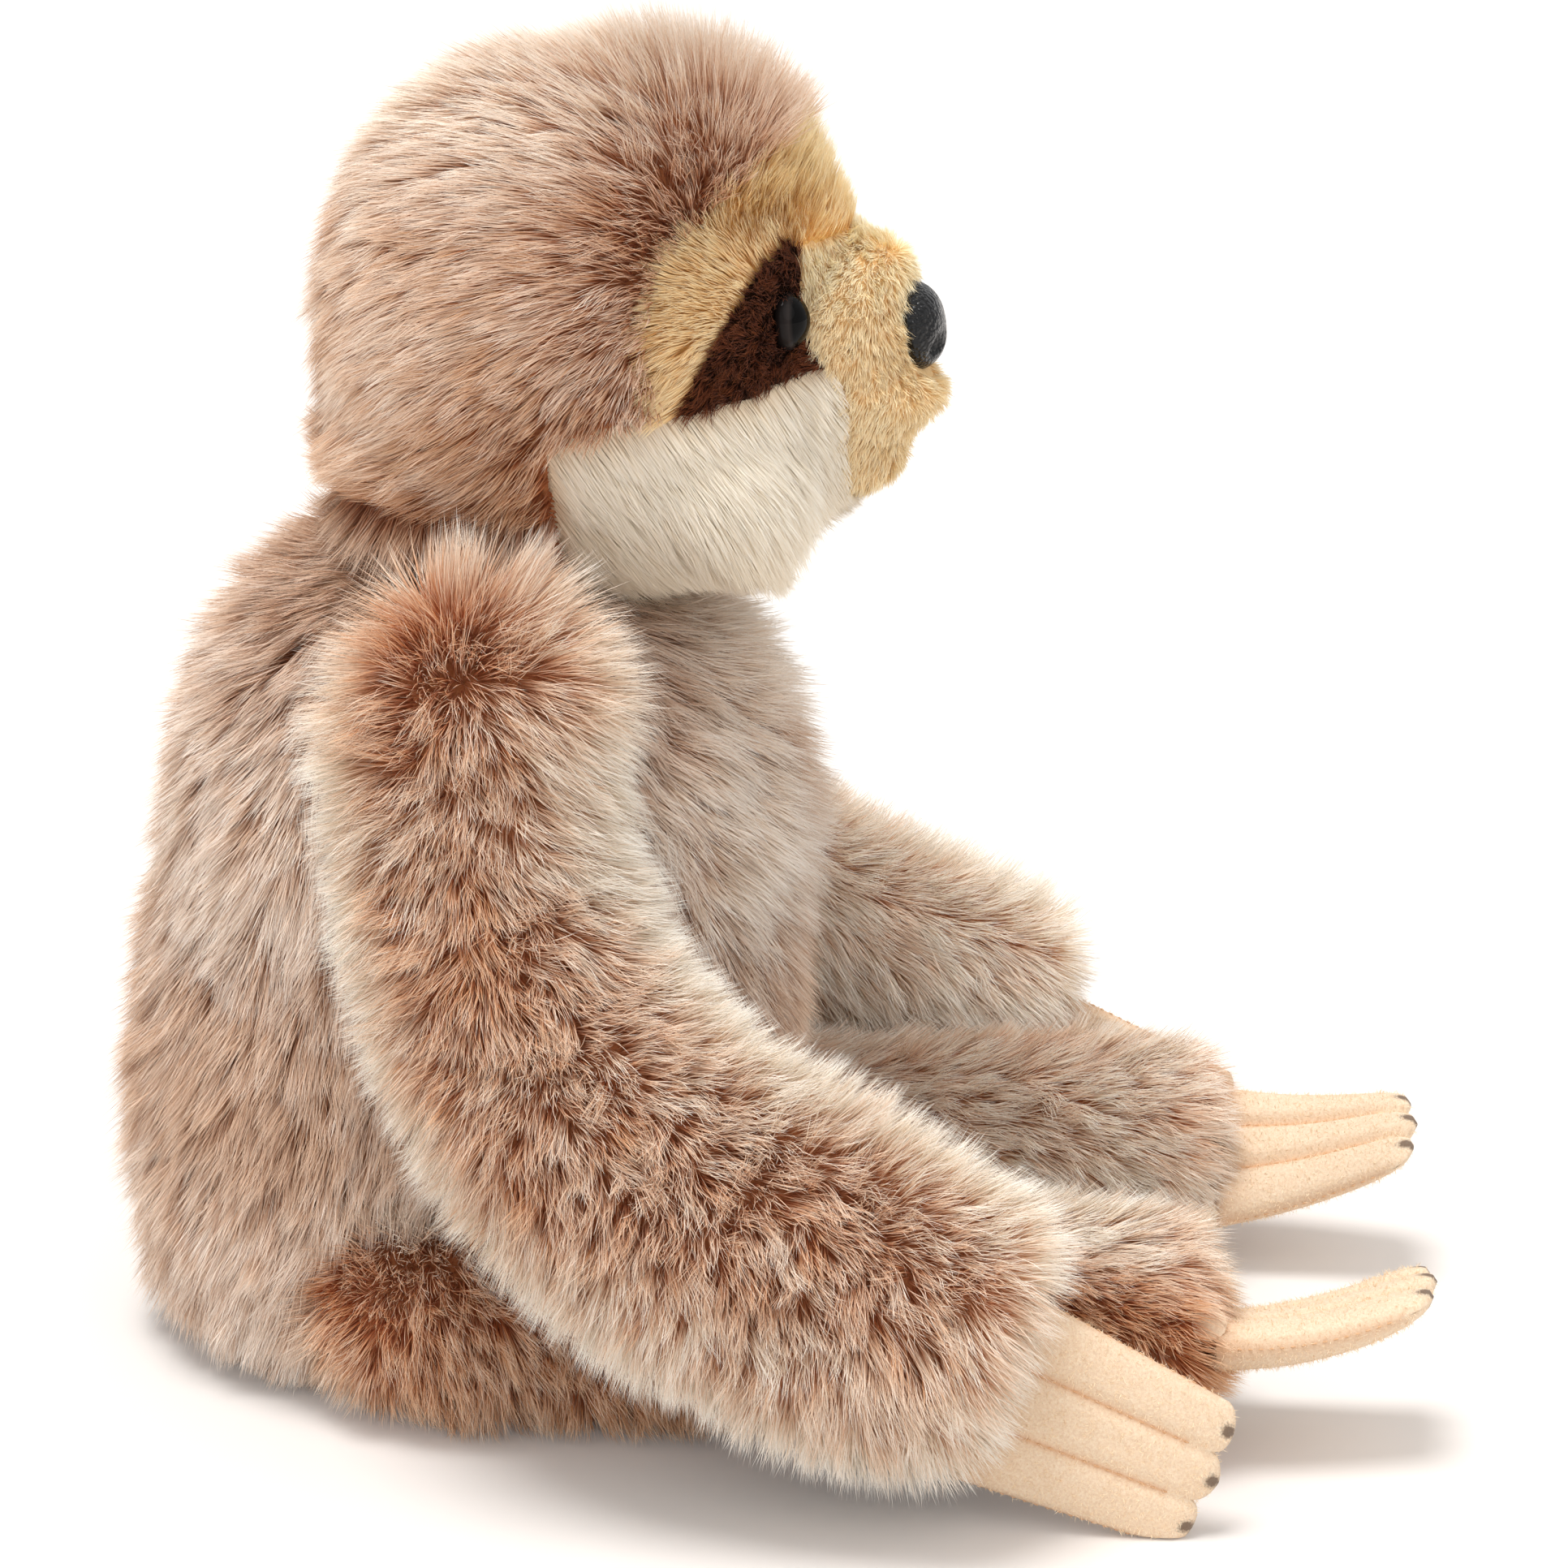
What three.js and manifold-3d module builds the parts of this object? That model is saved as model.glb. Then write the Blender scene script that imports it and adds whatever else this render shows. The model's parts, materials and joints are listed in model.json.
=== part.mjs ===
// A seated plush sloth: plush covers over stuffing, sewn together at the neck, shoulders and hips.
// Millimetres, +Z up. The toy faces -Y and its left side is +X, so "ahead" means Y = -ahead.
import * as THREE from 'three';
import { mergeVertices } from 'three/addons/utils/BufferGeometryUtils.js';
import Module from 'manifold-3d';

const wasm = await Module();
wasm.setup();

// Cloth and seams
const clothWall = 2;
const feltWall = 1.2;
const seamGap = 0.3;
const seamThickness = 1.2;
const fillHoleRadius = 9;

// Torso: its upper half is a dome around the neck pivot, so that the head can roll on it
const pivotAhead = -50;
const pivotHeight = 100;
const domeRadius = 54;
const domeStart = 84;
const domeShare = 0.95;
const domeRings = 6;
const torsoRows = [
  { height: 0, back: -96, front: -18, halfWidth: 32 },
  { height: 5, back: -104, front: -8, halfWidth: 39 },
  { height: 14, back: -109, front: -1, halfWidth: 45 },
  { height: 30, back: -111, front: 2, halfWidth: 49 },
  { height: 55, back: -110, front: 4, halfWidth: 50 },
  { height: 84, back: -105, front: 4, halfWidth: 51 },
];

// Neck: a curved band of seam allowance between the dome and the hollow under the head
const neckBandThickness = 2;
const neckBandInner = 22;
const neckBandOuter = 38;
const neckHoleRadius = 17;

// Head: cranium, nape, muzzle and jowl swell into one another
const plumpness = 2.3;
const craniumRise = 33;
const muzzleDrop = 6;
const jowlDrop = 19;
const napeDrop = 18;
const craniumHeight = pivotHeight + domeRadius + craniumRise;
const cranium = { ahead: -29, height: craniumHeight, halfWidth: 43, halfDepth: 42, halfHeight: 45 };
const muzzleHeight = craniumHeight - muzzleDrop;
const muzzle = { ahead: 4, height: muzzleHeight, halfWidth: 22, halfDepth: 24.5, halfHeight: 23 };
const jowl = { ahead: -12, height: craniumHeight - jowlDrop, halfWidth: 38, halfDepth: 23, halfHeight: 17 };
const nape = { ahead: -47, height: craniumHeight - napeDrop, halfWidth: 37, halfDepth: 24.5, halfHeight: 22 };

// Face panels, as places seen from the side, with each rise measured from the eyes
const browTop = { ahead: 8, rise: 28 };
const browSlope = 6;
const bridgeRise = 12;
const bridgeSlope = 2;
const muzzleRoot = 10;
const muzzleSlant = 3;
const patchInner = 13;
const patchLip = 1;
const patchTop = { ahead: 6, rise: 13 };
const patchBack = { ahead: -8.5, rise: -13.5 };
const patchFront = { ahead: 10.5, rise: -9 };
const bandBack = { ahead: -11.5, rise: 11 };
const bandFoot = { ahead: -13, rise: -12.5 };
const jowlBack = { ahead: -30, rise: -19 };
const jowlSlant = 1;

// Eyes and nose, each pushed through the cloth and locked by a washer
const eyeRadius = 6;
const eyeDome = 4.6;
const eyeHalfSpacing = 23.5;
const eyeRise = 5;
const eyeHeight = cranium.height + eyeRise;
const noseHalfWidth = 9;
const noseHalfHeight = 7.5;
const noseDome = 4.8;
const noseRise = 7;
const noseHeight = muzzle.height + noseRise;
const buttonRim = 0.4;
const shankRadius = 1.6;
const shankLength = 6;
const washerRadius = 5.5;
const washerThickness = 1.2;
const seatDepth = 0.9;

// Arms: each lies outside a leaning plane that passes through its shoulder
const shoulderHalfWidth = 45.5;
const shoulderAhead = -41;
const shoulderRise = 15;
const shoulderHeight = pivotHeight + shoulderRise;
const shoulderLean = 8.5;
const shoulderRingRadius = 15;
const armRows = [
  { ahead: 2, height: 34, out: 12, halfTall: 17, halfWide: 15 },
  { ahead: 1, height: 14, out: 12.5, halfTall: 18, halfWide: 15.5 },
  { ahead: 1, height: -9, out: 13, halfTall: 19, halfWide: 16 },
  { ahead: 6, height: -28, out: 14, halfTall: 21, halfWide: 16.5 },
  { ahead: 17, height: -47, out: 16, halfTall: 23, halfWide: 16.5 },
  { ahead: 33, height: -62.5, out: 18, halfTall: 24, halfWide: 17 },
  { ahead: 53, height: -73.5, out: 19, halfTall: 24, halfWide: 17 },
  { ahead: 73, height: -81.5, out: 19.5, halfTall: 22.5, halfWide: 16 },
  { ahead: 87, height: -87, out: 19.5, halfTall: 20, halfWide: 15 },
];
const armStartRound = 18;
const armEndRound = 9;

// Legs: each lies outside an upright plane beside the seat and swings in a pocket of the torso
const hipHalfWidth = 24;
const hipAhead = -52;
const hipHeight = 20.8;
const hipRingRadius = 10.5;
const haunchRadius = 20.5;
const legLift = 12;
const pocketBack = 1.2;
const legLength = 132;
const legRows = [
  { ahead: -haunchRadius, height: 0, out: 15.5, halfTall: haunchRadius, halfWide: 16.5 },
  { ahead: 0, height: 0, out: 15.5, halfTall: haunchRadius, halfWide: 16.5 },
  { ahead: 0.26 * legLength, height: 0, out: 15.5, halfTall: 18.5, halfWide: 15.5 },
  { ahead: 0.56 * legLength, height: 1, out: 16.5, halfTall: 16.5, halfWide: 15 },
  { ahead: 0.79 * legLength, height: 2.5, out: 18, halfTall: 16, halfWide: 15 },
  { ahead: legLength, height: 3, out: 19.5, halfTall: 15.2, halfWide: 14.5 },
];
const legStartRound = haunchRadius;
const legEndRound = 9;
const endShare = 0.82;

// Claws: two felt layers sewn into three channels on a rolled seam
const rollRadius = 3;
const handClaws = { length: 36, rootHalf: 16, tipHalf: 11.5, rootPuff: 3.4, tipPuff: 1.8, notch: 6, bend: 0 };
const footClaws = { length: 36, rootHalf: 16, tipHalf: 11, rootPuff: 3.4, tipPuff: 1.8, notch: 6, bend: 10 };
const handDrop = 6.5;
const footRoll = 34;
const footDrop = 5;
const clawRows = 5;
const clawColumns = 6;

// Facet counts
const torsoSides = 20;
const limbSides = 12;
const limbSteps = 11;
const headSides = 20;
const lobeSides = 14;
const ballSides = 24;
const ringSides = 16;
const buttonSides = 12;

const cutterSize = 400;
const radians = THREE.MathUtils.degToRad;
const blend = THREE.MathUtils.lerp;

// Solids

function indexed(points, faces) {
  const geometry = new THREE.BufferGeometry();
  const places = points.flatMap((point) => point.toArray());
  geometry.setAttribute('position', new THREE.Float32BufferAttribute(places, 3));
  geometry.setIndex(faces);
  return geometry;
}

function mirrored(geometry) {
  const copy = geometry.clone().scale(-1, 1, 1);
  const index = copy.getIndex();
  for (let corner = 0; corner < index.count; corner += 3) {
    const kept = index.getX(corner + 1);
    index.setX(corner + 1, index.getX(corner + 2));
    index.setX(corner + 2, kept);
  }
  return copy;
}

function solid(geometry) {
  const bare = geometry.clone();
  bare.deleteAttribute('normal');
  bare.deleteAttribute('uv');
  const merged = mergeVertices(bare, 1e-4);
  const vertProperties = new Float32Array(merged.getAttribute('position').array);
  const triVerts = new Uint32Array(merged.getIndex().array);
  return new wasm.Manifold(new wasm.Mesh({ numProp: 3, vertProperties, triVerts }));
}

function geometryOf(manifold) {
  const mesh = manifold.getMesh();
  const geometry = new THREE.BufferGeometry();
  geometry.setAttribute('position', new THREE.BufferAttribute(mesh.vertProperties, 3));
  geometry.setIndex(new THREE.BufferAttribute(mesh.triVerts, 1));
  return geometry;
}

// Rings of points joined into a closed skin, from a start point to an end point
function loft(rings, startPoint, endPoint) {
  const sides = rings[0].length;
  const points = [startPoint, ...rings.flat(), endPoint];
  const lastRing = points.length - 1 - sides;
  const faces = [];
  for (let side = 0; side < sides; side += 1) {
    const next = (side + 1) % sides;
    faces.push(0, 1 + next, 1 + side);
    for (let low = 1; low < lastRing; low += sides) {
      faces.push(low + side, low + next, low + sides + next);
      faces.push(low + side, low + sides + next, low + sides + side);
    }
    faces.push(lastRing + side, lastRing + next, points.length - 1);
  }
  return indexed(points, faces);
}

// A slab between two grids of points, closed along its rim
function slab(rows, columns, under, over) {
  const points = [];
  const faces = [];
  const width = columns + 1;
  const layer = width * (rows + 1);
  for (const surface of [under, over]) {
    for (let row = 0; row <= rows; row += 1) {
      for (let column = 0; column <= columns; column += 1) {
        points.push(surface(row, column));
      }
    }
  }
  const quad = (a, b, c, d) => faces.push(a, b, c, a, c, d);
  for (let row = 0; row < rows; row += 1) {
    for (let column = 0; column < columns; column += 1) {
      const corner = row * width + column;
      const far = corner + width;
      quad(corner, corner + 1, far + 1, far);
      quad(layer + corner, layer + far, layer + far + 1, layer + corner + 1);
    }
    const left = row * width;
    const right = left + columns;
    quad(left, left + width, layer + left + width, layer + left);
    quad(right + width, right, layer + right, layer + right + width);
  }
  const tip = rows * width;
  for (let column = 0; column < columns; column += 1) {
    quad(column + 1, column, layer + column, layer + column + 1);
    quad(tip + column, tip + column + 1, layer + tip + column + 1, layer + tip + column);
  }
  return indexed(points, faces);
}

// A round form with plump corners
function plump(form, inset, sides) {
  const geometry = new THREE.SphereGeometry(1, sides, Math.round(sides * 0.6));
  geometry.rotateX(Math.PI / 2);
  const place = geometry.getAttribute('position');
  for (let index = 0; index < place.count; index += 1) {
    const point = new THREE.Vector3().fromBufferAttribute(place, index);
    const sum = point.toArray().reduce((total, value) => total + Math.abs(value) ** plumpness, 0);
    point.multiplyScalar(sum ** (-1 / plumpness));
    place.setXYZ(index, point.x, point.y, point.z);
  }
  geometry.scale(form.halfWidth - inset, form.halfDepth - inset, form.halfHeight - inset);
  return solid(geometry.translate(0, -form.ahead, form.height));
}

function ball(radius) {
  const geometry = new THREE.SphereGeometry(radius, ballSides, Math.round(ballSides * 0.6));
  return solid(geometry.rotateX(Math.PI / 2).translate(0, -pivotAhead, pivotHeight));
}

function ring(inner, outer, thickness, facets) {
  const corners = [[inner, 0], [outer, 0], [outer, thickness], [inner, thickness], [inner, 0]];
  const profile = corners.map(([radius, height]) => new THREE.Vector2(radius, height));
  return new THREE.LatheGeometry(profile, facets);
}

function rod(radius, from, to, facets) {
  return new THREE.CylinderGeometry(radius, radius, to - from, facets).translate(0, (from + to) / 2, 0);
}

// An outline of (ahead, height) points carried sideways between two X places
function sidePrism(outline, fromX, toX) {
  const depth = toX - fromX;
  const geometry = new THREE.ExtrudeGeometry(new THREE.Shape(outline), { depth, bevelEnabled: false });
  const turn = new THREE.Matrix4().makeBasis(
    new THREE.Vector3(0, -1, 0),
    new THREE.Vector3(0, 0, 1),
    new THREE.Vector3(-1, 0, 0),
  );
  return solid(geometry.applyMatrix4(turn).translate(toX, 0, 0));
}

// An outline with every edge moved out by a margin
function widened(outline, margin) {
  const sense = THREE.ShapeUtils.isClockWise(outline) ? -1 : 1;
  const outward = (from, to) => {
    const along = to.clone().sub(from).normalize();
    return new THREE.Vector2(along.y, -along.x).multiplyScalar(sense);
  };
  return outline.map((point, index) => {
    const before = outline.at(index - 1);
    const after = outline[(index + 1) % outline.length];
    const first = outward(before, point);
    const second = outward(point, after);
    const share = margin / (1 + first.dot(second));
    return point.clone().add(first.add(second).multiplyScalar(share));
  });
}

// A stuffed limb: elliptical rings along a spine, round at the start and nearly flat at the end
function stuffedLimb(rows, startRound, endRound, inset) {
  const spine = new THREE.CatmullRomCurve3(
    rows.map((row) => new THREE.Vector3(row.out, -row.ahead, row.height)),
  );
  const girth = new THREE.CatmullRomCurve3(
    rows.map((row, index) => new THREE.Vector3(row.halfWide, row.halfTall, index)),
  );
  const length = spine.getLength();
  const sideways = new THREE.Vector3(1, 0, 0);
  const rings = [];
  for (let step = 1; step <= limbSteps; step += 1) {
    const share = (1 - Math.cos((Math.PI * step) / limbSteps)) / 2;
    const along = blend(inset, length - inset, share);
    const t = spine.getUtoTmapping(along / length);
    const centre = spine.getPoint(t);
    const normal = spine.getTangent(t).cross(sideways).normalize();
    const fromStart = Math.min(1, (along - inset) / (startRound - inset));
    const fromEnd = Math.min(1, (length - inset - along) / (endRound - inset));
    const opening = Math.sqrt(1 - (1 - fromStart) ** 2);
    const closing = blend(endShare, 1, Math.sqrt(1 - (1 - fromEnd) ** 2));
    const size = girth.getPoint(t);
    const swell = opening * closing;
    rings.push(Array.from({ length: limbSides }, (unused, side) => {
      const angle = (2 * Math.PI * side) / limbSides;
      return centre.clone()
        .addScaledVector(sideways, (size.x - inset) * swell * Math.cos(angle))
        .addScaledVector(normal, (size.y - inset) * swell * Math.sin(angle));
    }));
  }
  const firstPoint = spine.getPoint(spine.getUtoTmapping(inset / length));
  const lastPoint = spine.getPoint(spine.getUtoTmapping(1 - inset / length));
  return solid(loft(rings, firstPoint, lastPoint));
}

// Everything on the far side of an upright face at x, as a cutter
function beyond(x) {
  return new THREE.BoxGeometry(cutterSize, cutterSize, cutterSize).translate(x + cutterSize / 2, 0, 0);
}

function below(height) {
  const geometry = new THREE.BoxGeometry(cutterSize, cutterSize, cutterSize);
  return solid(geometry.translate(0, 0, height - cutterSize / 2));
}

// Scene helpers

function finish(color, roughness) {
  return new THREE.MeshStandardMaterial({ color, roughness, metalness: 0 });
}

function piece(name, geometry, material) {
  const mesh = new THREE.Mesh(geometry, material);
  mesh.name = name;
  return mesh;
}

const plushFinish = () => finish(0xc3a68c, 0.95);
const stuffingFinish = () => finish(0xf2f0ea, 1);
const threadFinish = () => finish(0x8a6a50, 0.9);
const feltFinish = () => finish(0xf6dfbd, 0.9);
const plasticFinish = () => finish(0x1a1514, 0.12);
const washerFinish = () => finish(0xe8e8e4, 0.5);

const sides = [{ name: 'left', sign: 1 }, { name: 'right', sign: -1 }];
const sided = (geometry, sign) => (sign > 0 ? geometry : mirrored(geometry));

// Torso

function legPocket(inset) {
  const radius = haunchRadius + 2 * seamGap + inset;
  const floor = -cutterSize / 10;
  const roofEnd = cutterSize / 4;
  const tangent = Math.PI / 2 + radians(legLift);
  const rise = (roofEnd + radius * Math.sin(radians(legLift))) * Math.tan(radians(legLift));
  const outline = new THREE.Path();
  outline.moveTo(roofEnd, floor);
  outline.lineTo(roofEnd, radius * Math.sin(tangent) + rise);
  outline.absarc(0, 0, radius, tangent, Math.PI * pocketBack);
  outline.lineTo(radius * Math.cos(Math.PI * pocketBack), floor);
  const points = outline.getPoints(8).map((point) => point.add(new THREE.Vector2(hipAhead, hipHeight)));
  return sidePrism(points, hipHalfWidth - inset, cutterSize / 4);
}

function shoulderCut(inset, sign) {
  const geometry = beyond(-inset);
  geometry.rotateY(radians(-shoulderLean)).translate(shoulderHalfWidth, 0, shoulderHeight);
  return solid(sided(geometry, sign));
}

function torsoForm(inset) {
  const ellipse = (height, centre, halfDepth, halfWidth) => {
    return Array.from({ length: torsoSides }, (unused, side) => {
      const angle = (2 * Math.PI * side) / torsoSides;
      const x = (halfWidth - inset) * Math.cos(angle);
      return new THREE.Vector3(x, (halfDepth - inset) * Math.sin(angle) - centre, height);
    });
  };
  const rings = torsoRows.map((row) => {
    const height = Math.max(row.height, inset);
    return ellipse(height, (row.back + row.front) / 2, (row.front - row.back) / 2, row.halfWidth);
  });
  for (let step = 0; step < domeRings; step += 1) {
    const polar = radians(domeStart * (1 - step / domeRings));
    const height = pivotHeight + (domeRadius - inset) * Math.cos(polar);
    const radius = (domeRadius - inset) * Math.sin(polar) + inset;
    rings.push(ellipse(height, pivotAhead, radius * domeShare, radius));
  }
  const bottom = torsoRows[0];
  const startPoint = new THREE.Vector3(0, -(bottom.back + bottom.front) / 2, inset);
  const endPoint = new THREE.Vector3(0, -pivotAhead, pivotHeight + domeRadius - inset);
  let form = solid(loft(rings, startPoint, endPoint));
  const pocket = geometryOf(legPocket(inset));
  for (const { sign } of sides) {
    form = form.subtract(shoulderCut(inset, sign)).subtract(solid(sided(pocket, sign)));
  }
  return form;
}

function neckHole() {
  const geometry = rod(neckHoleRadius, 0, domeRadius * 2, ringSides).rotateX(Math.PI / 2);
  return solid(geometry.translate(0, -pivotAhead, pivotHeight));
}

function torso() {
  const cover = torsoForm(0).subtract(torsoForm(clothWall)).subtract(neckHole());
  const group = new THREE.Group();
  group.add(piece('torso_cover', geometryOf(cover), plushFinish()));
  group.add(piece('torso_stuffing', geometryOf(torsoForm(clothWall + seamGap)), stuffingFinish()));
  return group;
}

// Neck

const neckBandRadius = domeRadius + seamGap;
const headHollow = neckBandRadius + neckBandThickness + 4 * seamGap;

function neck() {
  const steps = 3;
  const profile = [];
  const reach = [Math.asin(neckBandInner / domeRadius), Math.asin(neckBandOuter / domeRadius)];
  const arc = (radius, from, to) => {
    for (let step = 0; step <= steps; step += 1) {
      const polar = blend(from, to, step / steps);
      profile.push(new THREE.Vector2(radius * Math.sin(polar), radius * Math.cos(polar)));
    }
  };
  arc(neckBandRadius + seamGap, reach[0], reach[1]);
  arc(neckBandRadius + neckBandThickness, reach[1], reach[0]);
  profile.push(profile[0].clone());
  const band = new THREE.LatheGeometry(profile, ringSides).rotateX(Math.PI / 2);
  const clean = geometryOf(solid(band.translate(0, -pivotAhead, pivotHeight)));
  return piece('neck_seam_band', clean, threadFinish());
}

// Head

function headForm(inset) {
  return plump(cranium, inset, headSides)
    .add(plump(muzzle, inset, lobeSides))
    .add(plump(jowl, inset, lobeSides))
    .add(plump(nape, inset, lobeSides))
    .subtract(ball(headHollow + inset));
}

// The place on a plump form at a given width and height, with the direction that it faces
function surfaceSpot(form, x, height) {
  const across = Math.abs(x) / form.halfWidth;
  const up = (height - form.height) / form.halfHeight;
  const depth = (1 - across ** plumpness - Math.abs(up) ** plumpness) ** (1 / plumpness);
  const slope = plumpness - 1;
  const facing = new THREE.Vector3(
    (Math.sign(x) * across ** slope) / form.halfWidth,
    -(depth ** slope) / form.halfDepth,
    (Math.sign(up) * Math.abs(up) ** slope) / form.halfHeight,
  ).normalize();
  const spot = new THREE.Vector3(x, -(form.ahead + depth * form.halfDepth), height);
  return { spot, facing };
}

// Turns a shape that points along +Y to point out of a spot
function pointed(geometry, { spot, facing }) {
  const turn = new THREE.Quaternion().setFromUnitVectors(new THREE.Vector3(0, 1, 0), facing);
  return geometry.clone().applyQuaternion(turn).translate(spot.x, spot.y, spot.z);
}

// Room in the cloth for one button: its seat outside, its shank and its washer inside
function buttonRoom(halfWide, halfTall, spot) {
  const seat = rod(1, -seatDepth, cutterSize / 10, buttonSides);
  seat.scale(halfWide + seamGap, 1, halfTall + seamGap);
  const shank = rod(shankRadius + seamGap, -shankLength, 0, buttonSides);
  const washer = rod(washerRadius + seamGap, -shankLength - clothWall, -clothWall, buttonSides);
  return solid(pointed(seat, spot))
    .add(solid(pointed(shank, spot)))
    .add(solid(pointed(washer, spot)));
}

function button(halfWide, halfTall, dome) {
  const base = seamGap - seatDepth;
  const steps = 5;
  const cap = [new THREE.Vector2(0, base)];
  for (let step = 0; step <= steps; step += 1) {
    const angle = ((Math.PI / 2) * step) / steps;
    cap.push(new THREE.Vector2(Math.cos(angle), base + buttonRim + dome * Math.sin(angle)));
  }
  cap.splice(1, 0, new THREE.Vector2(1, base));
  cap[cap.length - 1].x = 0;
  const head = new THREE.LatheGeometry(cap, buttonSides).scale(halfWide, 1, halfTall);
  return solid(head).add(solid(rod(shankRadius, -shankLength, base + buttonRim / 2, buttonSides)));
}

function buttonWasher() {
  const flat = ring(shankRadius + seamGap, washerRadius, washerThickness, buttonSides);
  return flat.translate(0, -clothWall - seamGap - washerThickness, 0);
}

const spotOf = (point) => new THREE.Vector2(point.ahead, eyeHeight + point.rise);

function faceOutlines() {
  const front = cutterSize / 8;
  const floor = jowl.height - 2 * jowl.halfHeight;
  const bridge = eyeHeight + bridgeRise;
  const brow = spotOf(browTop);
  const cheekTop = spotOf(patchFront).y;
  const eyePatch = [patchTop, patchBack, patchFront].map(spotOf);
  eyePatch.push(new THREE.Vector2(muzzleRoot, bridge - patchLip));
  const muzzleFace = [
    new THREE.Vector2(muzzleRoot, bridge),
    new THREE.Vector2(muzzleRoot + muzzleSlant, floor),
    new THREE.Vector2(front, floor),
    new THREE.Vector2(front, bridge + bridgeSlope),
  ];
  const band = [
    brow,
    spotOf(bandBack),
    spotOf(bandFoot),
    spotOf(patchBack),
    spotOf(patchFront),
    new THREE.Vector2(front, cheekTop),
    new THREE.Vector2(front, brow.y + browSlope),
  ];
  const cheek = [
    spotOf(jowlBack),
    new THREE.Vector2(jowlBack.ahead + jowlSlant, floor),
    new THREE.Vector2(front, floor),
    new THREE.Vector2(front, cheekTop),
    spotOf(patchFront),
    spotOf(patchBack),
    spotOf(bandFoot),
  ];
  return { eyePatch, muzzleFace, band, cheek };
}

function head() {
  const group = new THREE.Group();
  const noseSpot = surfaceSpot(muzzle, 0, noseHeight);
  const eyeSpots = sides.map(({ name, sign }) => {
    return { name, spot: surfaceSpot(cranium, sign * eyeHalfSpacing, eyeHeight) };
  });
  let shell = headForm(0).subtract(headForm(clothWall)).subtract(neckHole());
  let filling = headForm(clothWall + seamGap);
  const rooms = eyeSpots.map(({ spot }) => buttonRoom(eyeRadius, eyeRadius, spot));
  rooms.push(buttonRoom(noseHalfWidth, noseHalfHeight, noseSpot));
  for (const room of rooms) {
    shell = shell.subtract(room);
    filling = filling.subtract(room);
  }

  const outlines = faceOutlines();
  const wide = cutterSize / 5;
  const region = (outline, margin) => sidePrism(widened(outline, margin), -wide, wide);
  const muzzleCover = shell.intersect(region(outlines.muzzleFace, 0));
  let rest = shell.subtract(region(outlines.muzzleFace, seamGap));
  const patchSide = (margin, sign) => {
    const span = [patchInner - margin, wide].map((x) => sign * x).sort((a, b) => a - b);
    return sidePrism(widened(outlines.eyePatch, margin), ...span);
  };
  const patches = sides.map(({ sign }) => rest.intersect(patchSide(0, sign)));
  for (const { sign } of sides) {
    rest = rest.subtract(patchSide(seamGap, sign));
  }
  const faceBand = rest.intersect(region(outlines.band, 0));
  rest = rest.subtract(region(outlines.band, seamGap));
  const jowlPanel = rest.intersect(region(outlines.cheek, 0));
  const hood = rest.subtract(region(outlines.cheek, seamGap));

  group.add(piece('hood_cover', geometryOf(hood), plushFinish()));
  group.add(piece('face_band', geometryOf(faceBand), finish(0xe0b980, 0.95)));
  group.add(piece('jowl_panel', geometryOf(jowlPanel), finish(0xefe6d4, 0.95)));
  group.add(piece('muzzle_cover', geometryOf(muzzleCover), finish(0xd9bb8d, 0.95)));
  group.add(piece('head_stuffing', geometryOf(filling), stuffingFinish()));
  const noseShape = button(noseHalfWidth, noseHalfHeight, noseDome);
  group.add(piece('nose', pointed(geometryOf(noseShape), noseSpot), finish(0x232326, 0.45)));
  group.add(piece('nose_washer', pointed(geometryOf(solid(buttonWasher())), noseSpot), washerFinish()));
  for (const [index, { name, spot }] of eyeSpots.entries()) {
    group.add(piece(`eye_patch_${name}`, geometryOf(patches[index]), finish(0x46301f, 0.95)));
    const eye = geometryOf(button(eyeRadius, eyeRadius, eyeDome));
    group.add(piece(`eye_${name}`, pointed(eye, spot), plasticFinish()));
    const washer = geometryOf(solid(buttonWasher()));
    group.add(piece(`eye_washer_${name}`, pointed(washer, spot), washerFinish()));
  }
  return group;
}

// Claws, in a frame of their own: the roll lies along X at the origin and the tips point along -Y

function clawLayer(claws, side) {
  const start = rollRadius + seamGap;
  const spot = (row, column, height) => {
    const share = row / clawRows;
    const puffed = column % 2;
    const reach = start + share * (claws.length - start - claws.notch * (1 - puffed));
    const across = (column / clawColumns) * 2 - 1;
    const x = across * blend(claws.rootHalf, claws.tipHalf, share);
    return new THREE.Vector3(x, -reach, side * height + claws.bend * share ** 2);
  };
  const puffAt = (row, column) => {
    const share = row / clawRows;
    const full = blend(claws.rootPuff, claws.tipPuff, share);
    return column % 2 === 1 && row < clawRows ? full : 0;
  };
  const middle = seamGap / 2;
  const outer = (row, column) => spot(row, column, middle + feltWall + puffAt(row, column));
  const inner = (row, column) => spot(row, column, middle);
  const sheets = side > 0 ? [inner, outer] : [outer, inner];
  return slab(clawRows, clawColumns, ...sheets);
}

function clawSet(limb, claws, name) {
  const group = new THREE.Group();
  const rollHalf = claws.rootHalf - 1;
  const roll = rod(rollRadius, -rollHalf, rollHalf, buttonSides).rotateZ(Math.PI / 2);
  group.add(piece(`${limb}_claw_seam_${name}`, roll, threadFinish()));
  group.add(piece(`${limb}_claws_top_${name}`, clawLayer(claws, 1), feltFinish()));
  group.add(piece(`${limb}_claws_bottom_${name}`, clawLayer(claws, -1), feltFinish()));
  return group;
}

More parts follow.
